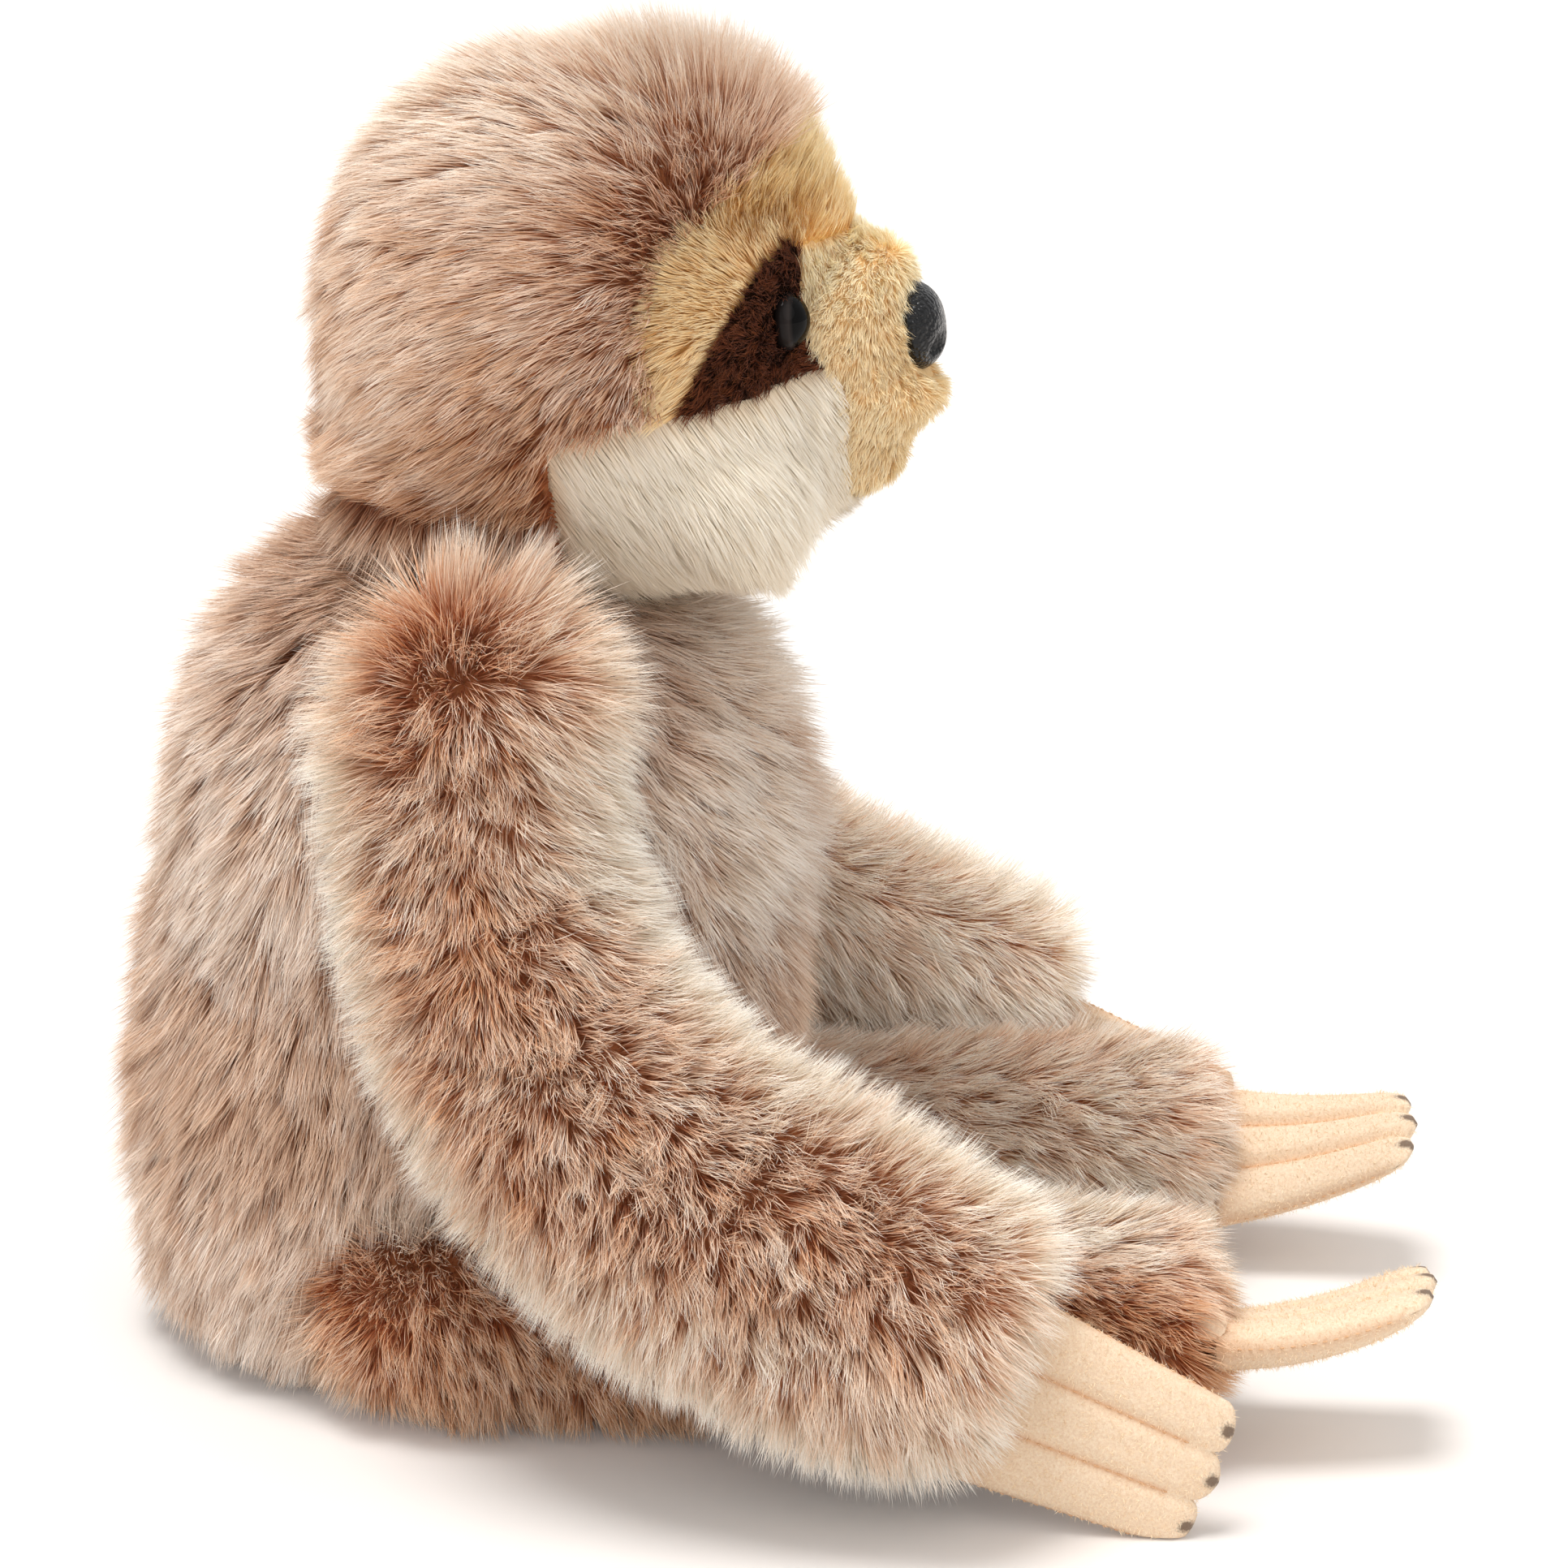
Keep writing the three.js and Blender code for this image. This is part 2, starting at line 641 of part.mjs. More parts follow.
// Where a limb ends, and how far its end points down
function limbEnd(rows, drop) {
  const last = rows.at(-1);
  const before = rows.at(-2);
  const slope = Math.atan2(last.height - before.height, last.ahead - before.ahead);
  const reach = rollRadius + 1.5 * seamGap;
  return {
    slope,
    spot: new THREE.Vector3(
      last.out,
      -(last.ahead + reach * Math.cos(slope) + drop * Math.sin(slope)),
      last.height + reach * Math.sin(slope) - drop * Math.cos(slope),
    ),
  };
}

// Limbs: a cover with a filling hole towards the torso, its stuffing and its seam ring

const limbStart = seamThickness + 2 * seamGap;

function limbPieces(limb, rows, rounds, ringRadius, trim, side) {
  const hole = solid(rod(fillHoleRadius, -cutterSize / 10, rows[1].out, ringSides).rotateZ(-Math.PI / 2));
  const form = (inset) => trim(stuffedLimb(rows, ...rounds, inset), inset);
  const cover = form(0).subtract(form(clothWall)).subtract(hole);
  const filling = form(clothWall + seamGap);
  const seam = ring(fillHoleRadius, ringRadius, seamThickness, ringSides).rotateZ(-Math.PI / 2);
  const group = new THREE.Group();
  const add = (name, geometry, material) => {
    group.add(piece(`${name}_${side.name}`, sided(geometry, side.sign), material));
  };
  add(`${limb}_cover`, geometryOf(cover), plushFinish());
  add(`${limb}_stuffing`, geometryOf(filling), stuffingFinish());
  const seamName = limb === 'arm' ? 'shoulder_seam' : 'hip_seam';
  add(seamName, geometryOf(solid(seam.translate(seamGap, 0, 0))), threadFinish());
  return group;
}

function arm(side) {
  const inner = solid(beyond(limbStart - cutterSize));
  const trim = (form, inset) => form.subtract(inset > 0 ? inner.translate([inset, 0, 0]) : inner);
  const group = limbPieces('arm', armRows, [armStartRound, armEndRound], shoulderRingRadius, trim, side);
  const claws = clawSet('hand', handClaws, side.name);
  const { slope, spot } = limbEnd(armRows, handDrop);
  claws.position.set(side.sign * spot.x, spot.y, spot.z);
  claws.rotation.set(-slope, side.sign * (Math.PI / 2), 0, 'XYZ');
  group.add(claws);
  group.position.set(side.sign * shoulderHalfWidth, -shoulderAhead, shoulderHeight);
  group.rotation.y = -side.sign * radians(shoulderLean);
  return group;
}

function leg(side) {
  const inner = solid(beyond(limbStart - cutterSize));
  const trim = (form, inset) => {
    const cut = inset > 0 ? inner.translate([inset, 0, 0]) : inner;
    return form.subtract(cut).subtract(below(inset - hipHeight + seamGap));
  };
  const group = limbPieces('leg', legRows, [legStartRound, legEndRound], hipRingRadius, trim, side);
  const claws = clawSet('foot', footClaws, side.name);
  const { slope, spot } = limbEnd(legRows, footDrop);
  claws.position.set(side.sign * spot.x, spot.y, spot.z);
  claws.rotation.set(-slope, -side.sign * radians(footRoll), 0, 'XYZ');
  group.add(claws);
  group.position.set(side.sign * hipHalfWidth, -hipAhead, hipHeight);
  return group;
}

// The whole toy, with its origin on the floor under the middle of its box

const sloth = new THREE.Group();
sloth.add(torso());
sloth.add(neck());
sloth.add(head());
for (const side of sides) {
  sloth.add(arm(side));
  sloth.add(leg(side));
}
const middle = new THREE.Box3().setFromObject(sloth, true).getCenter(new THREE.Vector3());
sloth.position.y = -middle.y;

export default sloth;
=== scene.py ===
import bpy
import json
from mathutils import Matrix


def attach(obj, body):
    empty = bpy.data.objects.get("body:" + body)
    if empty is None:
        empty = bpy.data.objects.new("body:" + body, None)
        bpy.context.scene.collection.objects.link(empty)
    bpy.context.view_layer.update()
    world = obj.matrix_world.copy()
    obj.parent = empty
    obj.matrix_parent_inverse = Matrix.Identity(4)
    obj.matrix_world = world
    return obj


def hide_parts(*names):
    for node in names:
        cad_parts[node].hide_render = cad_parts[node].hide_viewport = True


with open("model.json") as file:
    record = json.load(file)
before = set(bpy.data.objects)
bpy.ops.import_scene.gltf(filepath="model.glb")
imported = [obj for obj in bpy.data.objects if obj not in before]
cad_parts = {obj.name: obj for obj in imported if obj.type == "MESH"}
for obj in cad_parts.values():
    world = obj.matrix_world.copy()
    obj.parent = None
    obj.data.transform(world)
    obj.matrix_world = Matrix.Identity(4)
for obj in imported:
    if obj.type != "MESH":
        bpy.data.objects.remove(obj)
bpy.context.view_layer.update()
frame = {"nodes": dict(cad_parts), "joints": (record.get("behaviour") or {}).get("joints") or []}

import json
import math

import bmesh
import bpy
import numpy as np
from mathutils import Matrix, Vector
from mathutils.bvhtree import BVHTree
from mathutils.kdtree import KDTree

# Shapes are worked out in millimetres, in the CAD frame, and become metres when a mesh is made.
# The toy faces -Y, so a place that is "ahead" by a has y = SHIFT - a.
MM = 0.001
joint_place = {j["name"]: np.array(j["pos_m"]) / MM for j in frame["joints"]}
PIVOT = joint_place["head_turn"]
PIVOT_AHEAD = -50.0
SHIFT = PIVOT[1] + PIVOT_AHEAD
SIDES = (("left", 1), ("right", -1))
SEED = dict(torso=11, arm=21, leg=31, hood=41, nape=45, band=51, muzzle=61, jowl=71, patch=81,
            hand=91, foot=95)
RIPPLE_WAVES, RIPPLE_PITCH, RIPPLE_GAIN = 7, 2.2, 1.7


def linear(red, green, blue):
    """A colour given as 0-255 screen values, as the linear values that a shader takes."""
    parts = [c / 255 for c in (red, green, blue)]
    return tuple(p / 12.92 if p <= 0.04045 else ((p + 0.055) / 1.055) ** 2.4 for p in parts) + (1.0,)


def unit(vectors):
    return vectors / np.maximum(np.linalg.norm(vectors, axis=-1, keepdims=True), 1e-9)


def place(ahead, height, x=0.0):
    return np.array([x, SHIFT - ahead, height])


def ahead_of(points):
    return SHIFT - points[:, 1]


def hump(values, width):
    """1 at 0, falling off over a width."""
    return np.exp(-(values / width) ** 2)


def rising(values, start, full):
    """0 up to start, 1 from full on, and even in between. full can be the lesser of the two."""
    return np.clip((values - start) / (full - start), 0, 1)


def ripple(points, scale, seed):
    """Smooth values between about -1 and 1 that change over a distance of about scale."""
    rng = np.random.default_rng(seed)
    waves = rng.normal(size=(RIPPLE_WAVES, 3)) * (RIPPLE_PITCH / scale)
    phases = rng.uniform(0, 2 * math.pi, RIPPLE_WAVES)
    return np.sin(points @ waves.T + phases).mean(axis=1) * RIPPLE_GAIN


# Materials

UV_NAME = "OFBake"


def plug(socket, value):
    """Sets a socket to a constant, or links an output to it."""
    if isinstance(value, bpy.types.NodeSocket):
        socket.id_data.links.new(value, socket)
    else:
        socket.default_value = value


def feed(node, **values):
    """Fills a node's sockets. In a name, _ stands for a space."""
    for key, value in values.items():
        plug(node.inputs[key.replace("_", " ")], value)


def added(nodes, kind, **values):
    """A new shader node."""
    node = nodes.new("ShaderNode" + kind)
    feed(node, **values)
    return node


def new_material(name):
    material = bpy.data.materials.new(name)
    material.use_nodes = True
    nodes = material.node_tree.nodes
    return material, nodes, nodes["Principled BSDF"]


def stops(*entries):
    """Positions along a ramp with their colours, from rows of a position and three screen values."""
    return [(position, linear(*colour)) for position, *colour in entries]


def ramp(nodes, value, entries):
    node = added(nodes, "ValToRGB", Fac=value)
    elements = node.color_ramp.elements
    while len(elements) < len(entries):
        elements.new(0.5)
    for element, (position, colour) in zip(elements, entries):
        element.position = position
        element.color = colour
    return node.outputs["Color"]


def mixed(nodes, factor, first, second):
    node = nodes.new("ShaderNodeMix")
    node.data_type = "RGBA"
    for number, value in ((0, factor), (6, first), (7, second)):
        plug(node.inputs[number], value)
    return node.outputs[2]


def calculated(nodes, operation, *values):
    node = nodes.new("ShaderNodeMath")
    node.operation = operation
    for socket, value in zip(node.inputs, values):
        plug(socket, value)
    return node.outputs[0]


def attribute(nodes, name):
    """A value that the mesh carries at each of its points."""
    node = nodes.new("ShaderNodeAttribute")
    node.attribute_name = name
    return node.outputs["Fac"]


def object_noise(nodes, scale, detail=3.0, roughness=0.6):
    spot = nodes.new("ShaderNodeTexCoord").outputs["Object"]
    noise = added(nodes, "TexNoise", Vector=spot, Scale=scale, Detail=detail, Roughness=roughness)
    return noise.outputs["Fac"]


def bump(nodes, height, strength, distance):
    return added(nodes, "Bump", Height=height, Strength=strength, Distance=distance).outputs["Normal"]


def fur_material(name, dark, pale):
    """Pile whose colour runs from root to tip along V, between a dark and a pale kind of strand by U."""
    material, nodes, shader = new_material(name)
    uv = nodes.new("ShaderNodeUVMap")
    uv.uv_map = UV_NAME
    split = added(nodes, "SeparateXYZ", Vector=uv.outputs["UV"]).outputs
    first, second = (ramp(nodes, split["Y"], stops(*entries)) for entries in (dark, pale))
    feed(shader, Base_Color=mixed(nodes, split["X"], first, second), Roughness=0.62, Specular_IOR_Level=0.2,
         Sheen_Weight=0.06, Sheen_Roughness=0.5)
    return material


def grained(name, pale, deep, scale, depth, roughness, detail=4.0, strength=0.4, specular=0.5):
    """One colour with a fine grain of a deeper one."""
    material, nodes, shader = new_material(name)
    grain = object_noise(nodes, scale, detail)
    feed(shader, Base_Color=ramp(nodes, grain, stops((0.3, *deep), (0.7, *pale))), Roughness=roughness,
         Specular_IOR_Level=specular, Normal=bump(nodes, grain, strength, depth))
    return material


def backing(name, pale, deep):
    """The knitted back of the pile."""
    return grained(name, pale, deep, 900, 0.0006, 0.95, detail=3.0, strength=0.5, specular=0.1)


# Colours along a strand from root to tip, of the darkest and of the palest strands
PILE_COLOURS = {
    "limb": (
        ((0.0, 172, 86, 44), (0.28, 194, 112, 66), (0.55, 228, 170, 122), (1.0, 248, 220, 188)),
        ((0.0, 218, 156, 112), (0.22, 242, 200, 162), (0.42, 255, 240, 218), (1.0, 255, 254, 249))),
    "torso": (
        ((0.0, 140, 78, 46), (0.32, 176, 120, 86), (0.58, 214, 174, 142), (1.0, 236, 210, 186)),
        ((0.0, 176, 118, 82), (0.26, 222, 180, 148), (0.48, 253, 233, 212), (1.0, 255, 252, 247))),
    "hood": (
        ((0.0, 148, 74, 36), (0.36, 182, 110, 68), (0.62, 214, 164, 122), (1.0, 236, 204, 174)),
        ((0.0, 190, 114, 70), (0.28, 232, 182, 142), (0.5, 254, 233, 210), (1.0, 255, 251, 243))),
    "band": (
        ((0.0, 240, 172, 98), (0.5, 252, 200, 128), (1.0, 255, 220, 158)),
        ((0.0, 255, 216, 152), (0.5, 255, 230, 178), (1.0, 255, 244, 212))),
    "muzzle": (
        ((0.0, 250, 210, 150), (0.5, 255, 224, 172), (1.0, 255, 234, 190)),
        ((0.0, 255, 226, 172), (0.5, 255, 240, 200), (1.0, 255, 249, 226))),
    "jowl": (
        ((0.0, 244, 218, 184), (0.5, 252, 235, 209), (1.0, 254, 243, 224)),
        ((0.0, 252, 234, 206), (0.5, 255, 246, 228), (1.0, 255, 252, 244))),
    "patch": (
        ((0.0, 60, 22, 7), (0.6, 90, 38, 15), (1.0, 114, 55, 24)),
        ((0.0, 84, 36, 14), (0.6, 128, 67, 32), (1.0, 168, 100, 54))),
}
FUR = {kind: fur_material(f"{kind}_pile", *colours) for kind, colours in PILE_COLOURS.items()}
BACKING = {
    "long": backing("brown_backing", (186, 122, 82), (160, 98, 62)),
    "tan": backing("tan_backing", (240, 192, 120), (220, 168, 98)),
    "beige": backing("beige_backing", (250, 214, 160), (236, 194, 138)),
    "white": backing("cream_backing", (234, 218, 192), (214, 194, 164)),
    "dark": backing("dark_backing", (52, 30, 17), (38, 21, 12)),
}


# Meshes


def linked(name, data):
    """A new object in the scene."""
    item = bpy.data.objects.new(name, data)
    bpy.context.scene.collection.objects.link(item)
    return item


def smooth_mesh(name, points, corners, starts):
    """A mesh from points in millimetres, the corners of all its faces, and where each face starts."""
    mesh = bpy.data.meshes.new(name)
    mesh.vertices.add(len(points))
    mesh.vertices.foreach_set("co", (np.asarray(points) * MM).astype(np.float32).ravel())
    mesh.loops.add(len(corners))
    mesh.loops.foreach_set("vertex_index", corners)
    mesh.polygons.add(len(starts))
    mesh.polygons.foreach_set("loop_start", starts)
    mesh.polygons.foreach_set("use_smooth", np.ones(len(starts), bool))
    mesh.update(calc_edges=True)
    return mesh


def mesh_object(name, points, faces, material=None):
    """An object from points in millimetres and faces that all have the same number of corners."""
    faces = np.asarray(faces, np.int32)
    starts = np.arange(0, faces.size, faces.shape[1], dtype=np.int32)
    mesh = smooth_mesh(name, points, faces.ravel(), starts)
    if material is not None:
        mesh.materials.append(material)
    return linked(name, mesh)


def read(collection, key, width, kind=np.float32):
    """One property of all members of a mesh's collection, a row for each."""
    values = np.empty(len(collection) * width, kind)
    collection.foreach_get(key, values)
    return values.reshape(-1, width)


def points_of(mesh):
    return read(mesh.vertices, "co", 3).astype(float) / MM


def triangles_of(mesh):
    mesh.calc_loop_triangles()
    return read(mesh.loop_triangles, "vertices", 3, np.int32)


def normals_of(mesh):
    return read(mesh.vertex_normals, "vector", 3).astype(float)


def on_floor(points, gap):
    """Points lifted to a height of at least gap."""
    points[..., 2] = np.maximum(points[..., 2], gap)
    return points


def moved(matrix, points):
    """Points in a frame of their own, as points of the CAD frame."""
    return (np.array(matrix.to_3x3()) @ np.asarray(points).T).T + np.array(matrix.translation)


def joined(*parts):
    """One set of points and triangles from several."""
    places, faces, count = [], [], 0
    for points, triangles in parts:
        places.append(points)
        faces.append(np.asarray(triangles) + count)
        count += len(points)
    return np.concatenate(places), np.concatenate(faces)


def node_soup(*names):
    """All corners and triangles of some CAD nodes, in millimetres."""
    meshes = [frame["nodes"][name].data for name in names]
    return joined(*((points_of(mesh), triangles_of(mesh)) for mesh in meshes))


SMOOTHING = (0.5, -0.52)
SETTLING_ROUNDS = 3


def summed(index, values, count):
    """Sums of the rows of values that have the same index."""
    return np.stack([np.bincount(index, column, count) for column in values.T], axis=1)


def relaxed(points, edges, rounds):
    """Points smoothed along edges without shrinking, and kept above the floor."""
    first, second = edges.T
    count = len(points)
    degree = np.bincount(first, minlength=count) + np.bincount(second, minlength=count)
    for _ in range(rounds):
        for share in SMOOTHING:
            total = summed(first, points[second], count) + summed(second, points[first], count)
            points = points + share * (total / degree[:, None] - points)
    return on_floor(points, 0.0)


class Skin:
    """A closed, smooth form: points, triangles and normals."""

    def __init__(self, soup, voxel, rounds, shape=None):
        rough = mesh_object("rough", *soup)
        remesh = rough.modifiers.new("remesh", "REMESH")
        remesh.mode = "VOXEL"
        remesh.voxel_size = voxel * MM
        evaluated = rough.evaluated_get(bpy.context.evaluated_depsgraph_get())
        mesh = bpy.data.meshes.new_from_object(evaluated)
        edges = read(mesh.edges, "vertices", 2, np.int32)
        points = relaxed(points_of(mesh), edges, rounds)
        if shape is not None:
            points = relaxed(shape(points), edges, SETTLING_ROUNDS)
        mesh.vertices.foreach_set("co", (points * MM).astype(np.float32).ravel())
        mesh.update()
        self.points, self.triangles, self.normals = points, triangles_of(mesh), normals_of(mesh)
        bpy.data.objects.remove(rough)
        bpy.data.meshes.remove(mesh)


def scattered(points, triangles, normals, density, rng):
    """Random places on a form, so many to the square millimetre, with their normals."""
    corners = points[triangles]
    cross = np.cross(corners[:, 1] - corners[:, 0], corners[:, 2] - corners[:, 0])
    area = np.linalg.norm(cross, axis=1) / 2
    count = int(area.sum() * density)
    chosen = rng.choice(len(area), count, p=area / area.sum())
    u, v = rng.random((2, count))
    over = u + v > 1
    u[over], v[over] = 1 - u[over], 1 - v[over]
    weights = np.stack([1 - u - v, u, v], axis=1)[:, :, None]
    return (corners[chosen] * weights).sum(1), unit((normals[triangles[chosen]] * weights).sum(1))


def capped_rings(rings, segments):
    """Triangles of a stack of rings of points, between a first and a last point."""
    triangles = []
    last = 1 + (rings - 1) * segments
    for k in range(segments):
        beside = (k + 1) % segments
        triangles.append((0, 1 + k, 1 + beside))
        for start in range(1, last, segments):
            a, b = start + k, start + beside
            triangles += [(a, a + segments, b + segments), (a, b + segments, b)]
        triangles.append((last + k, last + segments, last + beside))
    return np.array(triangles)


PLUMPNESS = 2.3
FORM_ROWS, FORM_COLUMNS = 40, 64


def bulging_form(ahead, height, half_width, half_depth, half_height):
    """A plump ball, as in the CAD model, with many more facets."""
    polar, turn = np.meshgrid(np.linspace(0, math.pi, FORM_ROWS + 1)[1:-1],
                              np.arange(FORM_COLUMNS) * 2 * math.pi / FORM_COLUMNS, indexing="ij")
    ball = np.stack([np.sin(polar) * np.cos(turn), np.sin(polar) * np.sin(turn), np.cos(polar)], -1)
    ball = np.concatenate([[[0, 0, 1]], ball.reshape(-1, 3), [[0, 0, -1]]])
    ball *= (np.abs(ball) ** PLUMPNESS).sum(1, keepdims=True) ** (-1 / PLUMPNESS)
    points = ball * [half_width, half_depth, half_height] + place(ahead, height)
    return points, capped_rings(FORM_ROWS - 1, FORM_COLUMNS)


# Forms under the pile

HEAD_HOLLOW = 57.5
# Where the cloth of the face stands further ahead than the plump forms do
LIP = dict(height=175.5, width=4.5, across=math.inf, start=14, run=10, depth=4.4)
CHIN = dict(height=160.0, width=6.0, across=math.inf, start=6, run=8, depth=5.4)
BROW = dict(height=202, width=8, across=18, start=-6, run=10, depth=6.5)
JOWL_SAG = dict(ahead=3, width=9, below=168, run=12, beside=4, across=12, depth=5.0)
NAPE_CREASE = 161.0
NAPE_FOLD = dict(width=3.4, behind=-24, run=8, depth=1.6)


def swollen(points, ahead, bump):
    """How far a bump of the face pushes places ahead."""
    away = ((points[:, 2] - bump["height"]) / bump["width"]) ** 2 + (points[:, 0] / bump["across"]) ** 2
    return bump["depth"] * np.exp(-away) * np.clip((ahead - bump["start"]) / bump["run"], 0, 1)


def shaped_head(points):
    """Adds the hollow over the neck, lip, chin and brow, the jowl's low front and the nape's crease."""
    offset = points - PIVOT
    reach = np.linalg.norm(offset, axis=1, keepdims=True)
    points = np.where(reach < HEAD_HOLLOW, PIVOT + offset / reach * HEAD_HOLLOW, points)
    ahead = ahead_of(points)
    points[:, 1] -= sum(swollen(points, ahead, bump) for bump in (LIP, CHIN, BROW))
    sag, fold = JOWL_SAG, NAPE_FOLD
    points[:, 2] -= (sag["depth"] * hump(ahead - sag["ahead"], sag["width"])
                     * np.clip((sag["below"] - points[:, 2]) / sag["run"], 0, 1)
                     * np.clip((np.abs(points[:, 0]) - sag["beside"]) / sag["across"], 0, 1))
    pressed = (fold["depth"] * hump(points[:, 2] - NAPE_CREASE, fold["width"])
               * np.clip((fold["behind"] - ahead) / fold["run"], 0, 1))
    points[:, :2] -= pressed[:, None] * unit(points[:, :2] - PIVOT[:2])
    return points


CRANIUM = dict(ahead=-29, height=187, half_width=43, half_depth=42, half_height=45)
MUZZLE = dict(ahead=4, height=181, half_width=22, half_depth=24.5, half_height=23)
JOWL = dict(ahead=-12, height=168, half_width=38, half_depth=23, half_height=17)
NAPE = dict(ahead=-47, height=169, half_width=37, half_depth=24.5, half_height=22)
HEAD_FORMS = (CRANIUM, MUZZLE, JOWL, NAPE)
skins = {"head": Skin(joined(*(bulging_form(**form) for form in HEAD_FORMS)), 1.6, 12, shaped_head),
         "torso": Skin(node_soup("torso_cover", "torso_stuffing"), 2.2, 24)}
for side, _ in SIDES:
    for limb in ("arm", "leg"):
        skins[f"{limb}_{side}"] = Skin(node_soup(f"{limb}_cover_{side}", f"{limb}_stuffing_{side}"), 2.0, 24)
trees = {name: BVHTree.FromPolygons(skin.points.tolist(), skin.triangles.tolist())
         for name, skin in skins.items()}


def form_spot(form, x, height):
    """The place on a plump form at a given width and height, and the direction that it faces."""
    across, up = abs(x) / form["half_width"], (height - form["height"]) / form["half_height"]
    depth = (1 - across ** PLUMPNESS - abs(up) ** PLUMPNESS) ** (1 / PLUMPNESS)
    slope = PLUMPNESS - 1
    facing = np.array([math.copysign(across ** slope, x) / form["half_width"],
                       -(depth ** slope) / form["half_depth"],
                       math.copysign(abs(up) ** slope, up) / form["half_height"]])
    return place(form["ahead"] + depth * form["half_depth"], height, x), unit(facing)


# Panels of the head, as outlines seen from the side: (ahead, height)


def inside(outline, points):
    ahead, height = ahead_of(points), points[:, 2]
    found = np.zeros(len(points), bool)
    for (a0, h0), (a1, h1) in zip(outline, outline[1:] + outline[:1]):
        spans = (h0 > height) != (h1 > height)
        slope = (a1 - a0) / (h1 - h0) if h1 != h0 else 0.0
        found ^= spans & (ahead < a0 + (height - h0) * slope)
    return found


FRONT, FLOOR = 60.0, 130.0
HOOD_EDGE = [(8, 220), (-3, 212), (-11, 203), (-13, 192), (-11.5, 179.5)]
CHEEK_EDGE = [(-8.5, 178.5), (4, 180.5), (15, 184)]
BRIDGE_EDGE = [(10.5, 192), (12, 188)]
NAPE_EDGE = [(-30, 174), (-29, FLOOR)]
PATCH = [(8, 205), (4, 201), (-2.5, 190), *CHEEK_EDGE, *BRIDGE_EDGE[::-1], (10, 203)]
MUZZLE_FACE = [(10, 204), *BRIDGE_EDGE, (15, 184), (17, 179), (17.5, FLOOR), (FRONT, FLOOR), (FRONT, 206)]
BAND = [*HOOD_EDGE, *CHEEK_EDGE, (FRONT, 184), (FRONT, 226)]
CHEEK = [*NAPE_EDGE, (FRONT, FLOOR), (FRONT, 184), *CHEEK_EDGE[::-1], HOOD_EDGE[-1]]
PATCH_INNER = 13.0


def head_panel(points):
    """The panel that each place on the head belongs to."""
    panel = np.full(len(points), "hood", object)
    panel[inside(CHEEK, points)] = "jowl"
    panel[inside(BAND, points)] = "band"
    patch = inside(PATCH, points) & (np.abs(points[:, 0]) > PATCH_INNER)
    panel[inside(MUZZLE_FACE, points)] = "muzzle"
    panel[patch & (points[:, 0] > 0)] = "patch_left"
    panel[patch & (points[:, 0] < 0)] = "patch_right"
    return panel


# Cloth skins

CLOTH = 1.4


def cloth_skin(name, body, node, kind, skin, keep=None):
    """The cloth of a cover, or of the panel of the head that keep picks out."""
    triangles = skin.triangles if keep is None else skin.triangles[keep]
    used, index = np.unique(triangles, return_inverse=True)
    item = mesh_object(name, skin.points[used], index.reshape(-1, 3), BACKING[kind])
    wall = item.modifiers.new("cloth", "SOLIDIFY")
    wall.thickness = CLOTH * MM
    wall.offset = -1
    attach(item, body)
    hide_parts(node)


panels = head_panel(skins["head"].points[skins["head"].triangles].mean(1))
for panel, node, slot, kind in (
    ("hood", "hood_cover", "long_plush", "long"), ("band", "face_band", "tan_plush", "tan"),
    ("jowl", "jowl_panel", "white_plush", "white"), ("muzzle", "muzzle_cover", "beige_plush", "beige"),
    ("patch_left", "eye_patch_left", "dark_plush", "dark"),
    ("patch_right", "eye_patch_right", "dark_plush", "dark"),
):
    cloth_skin(f"{panel}_skin", "head", node, kind, skins["head"], panels == panel)
cloth_skin("torso_skin", "torso", "torso_cover", "long", skins["torso"])
for side, _ in SIDES:
    for limb in ("arm", "leg"):
        body = f"{limb}_{side}"
        cloth_skin(f"{body}_skin", body, f"{limb}_cover_{side}", "long", skins[body])


# Pile: every strand is a thin ribbon that tapers to its tip

LEVELS = np.array([0.0, 0.34, 0.68, 1.0])
TAPER = np.array([1.0, 0.88, 0.6])
MOST_STRANDS = 39000
LEAST_LENGTH = 1.1
# density: strands to the square millimetre. lay: degrees that they lean from the normal. clump: width of
# a tuft. gather: how far a tuft's tips draw together. streaks: how much the colour changes between tufts.
PILE_FIELDS = ("density", "length", "width", "lay", "spread", "bend", "curl", "clump", "gather", "streaks")
PILE = {
    "torso": (4.4, 12.8, 0.2, 53, 0.1, 0.2, 0.2, 3.2, 0.24, 0.14),
    "limb": (4.8, 12.3, 0.19, 17, 0.11, 0.16, 0.2, 2.8, 0.22, 0.14),
    "hood": (4.8, 12.0, 0.19, 50, 0.08, 0.2, 0.18, 3.0, 0.2, 0.14),
    "band": (7.5, 7.6, 0.17, 56, 0.06, 0.25, 0.12, 2.6, 0.1, 0.07),
    "muzzle": (13.0, 3.3, 0.15, 54, 0.16, 0.3, 0.25, 1.3, 0.06, 0.05),
    "jowl": (7.5, 9.5, 0.17, 62, 0.03, 0.2, 0.08, 2.8, 0.05, 0.05),
    "patch": (11.0, 4.8, 0.14, 44, 0.16, 0.25, 0.25, 1.4, 0.05, 0.1),
}
LEAST_HEIGHT, FLOOR_GAP, LIFT_SPAN = 1.2, 0.25, 0.5
PULL_RANGE, PULL_POWER = (0.4, 1.0), 1.5
SWIRL, SWIRL_SCALE, LEAN_RIPPLE, LEAN_SCALE = 0.35, 30, 8, 20
LENGTH_RIPPLE, LENGTH_SCALE, LENGTH_RANGE = 0.12, 14, (0.68, 1.08)
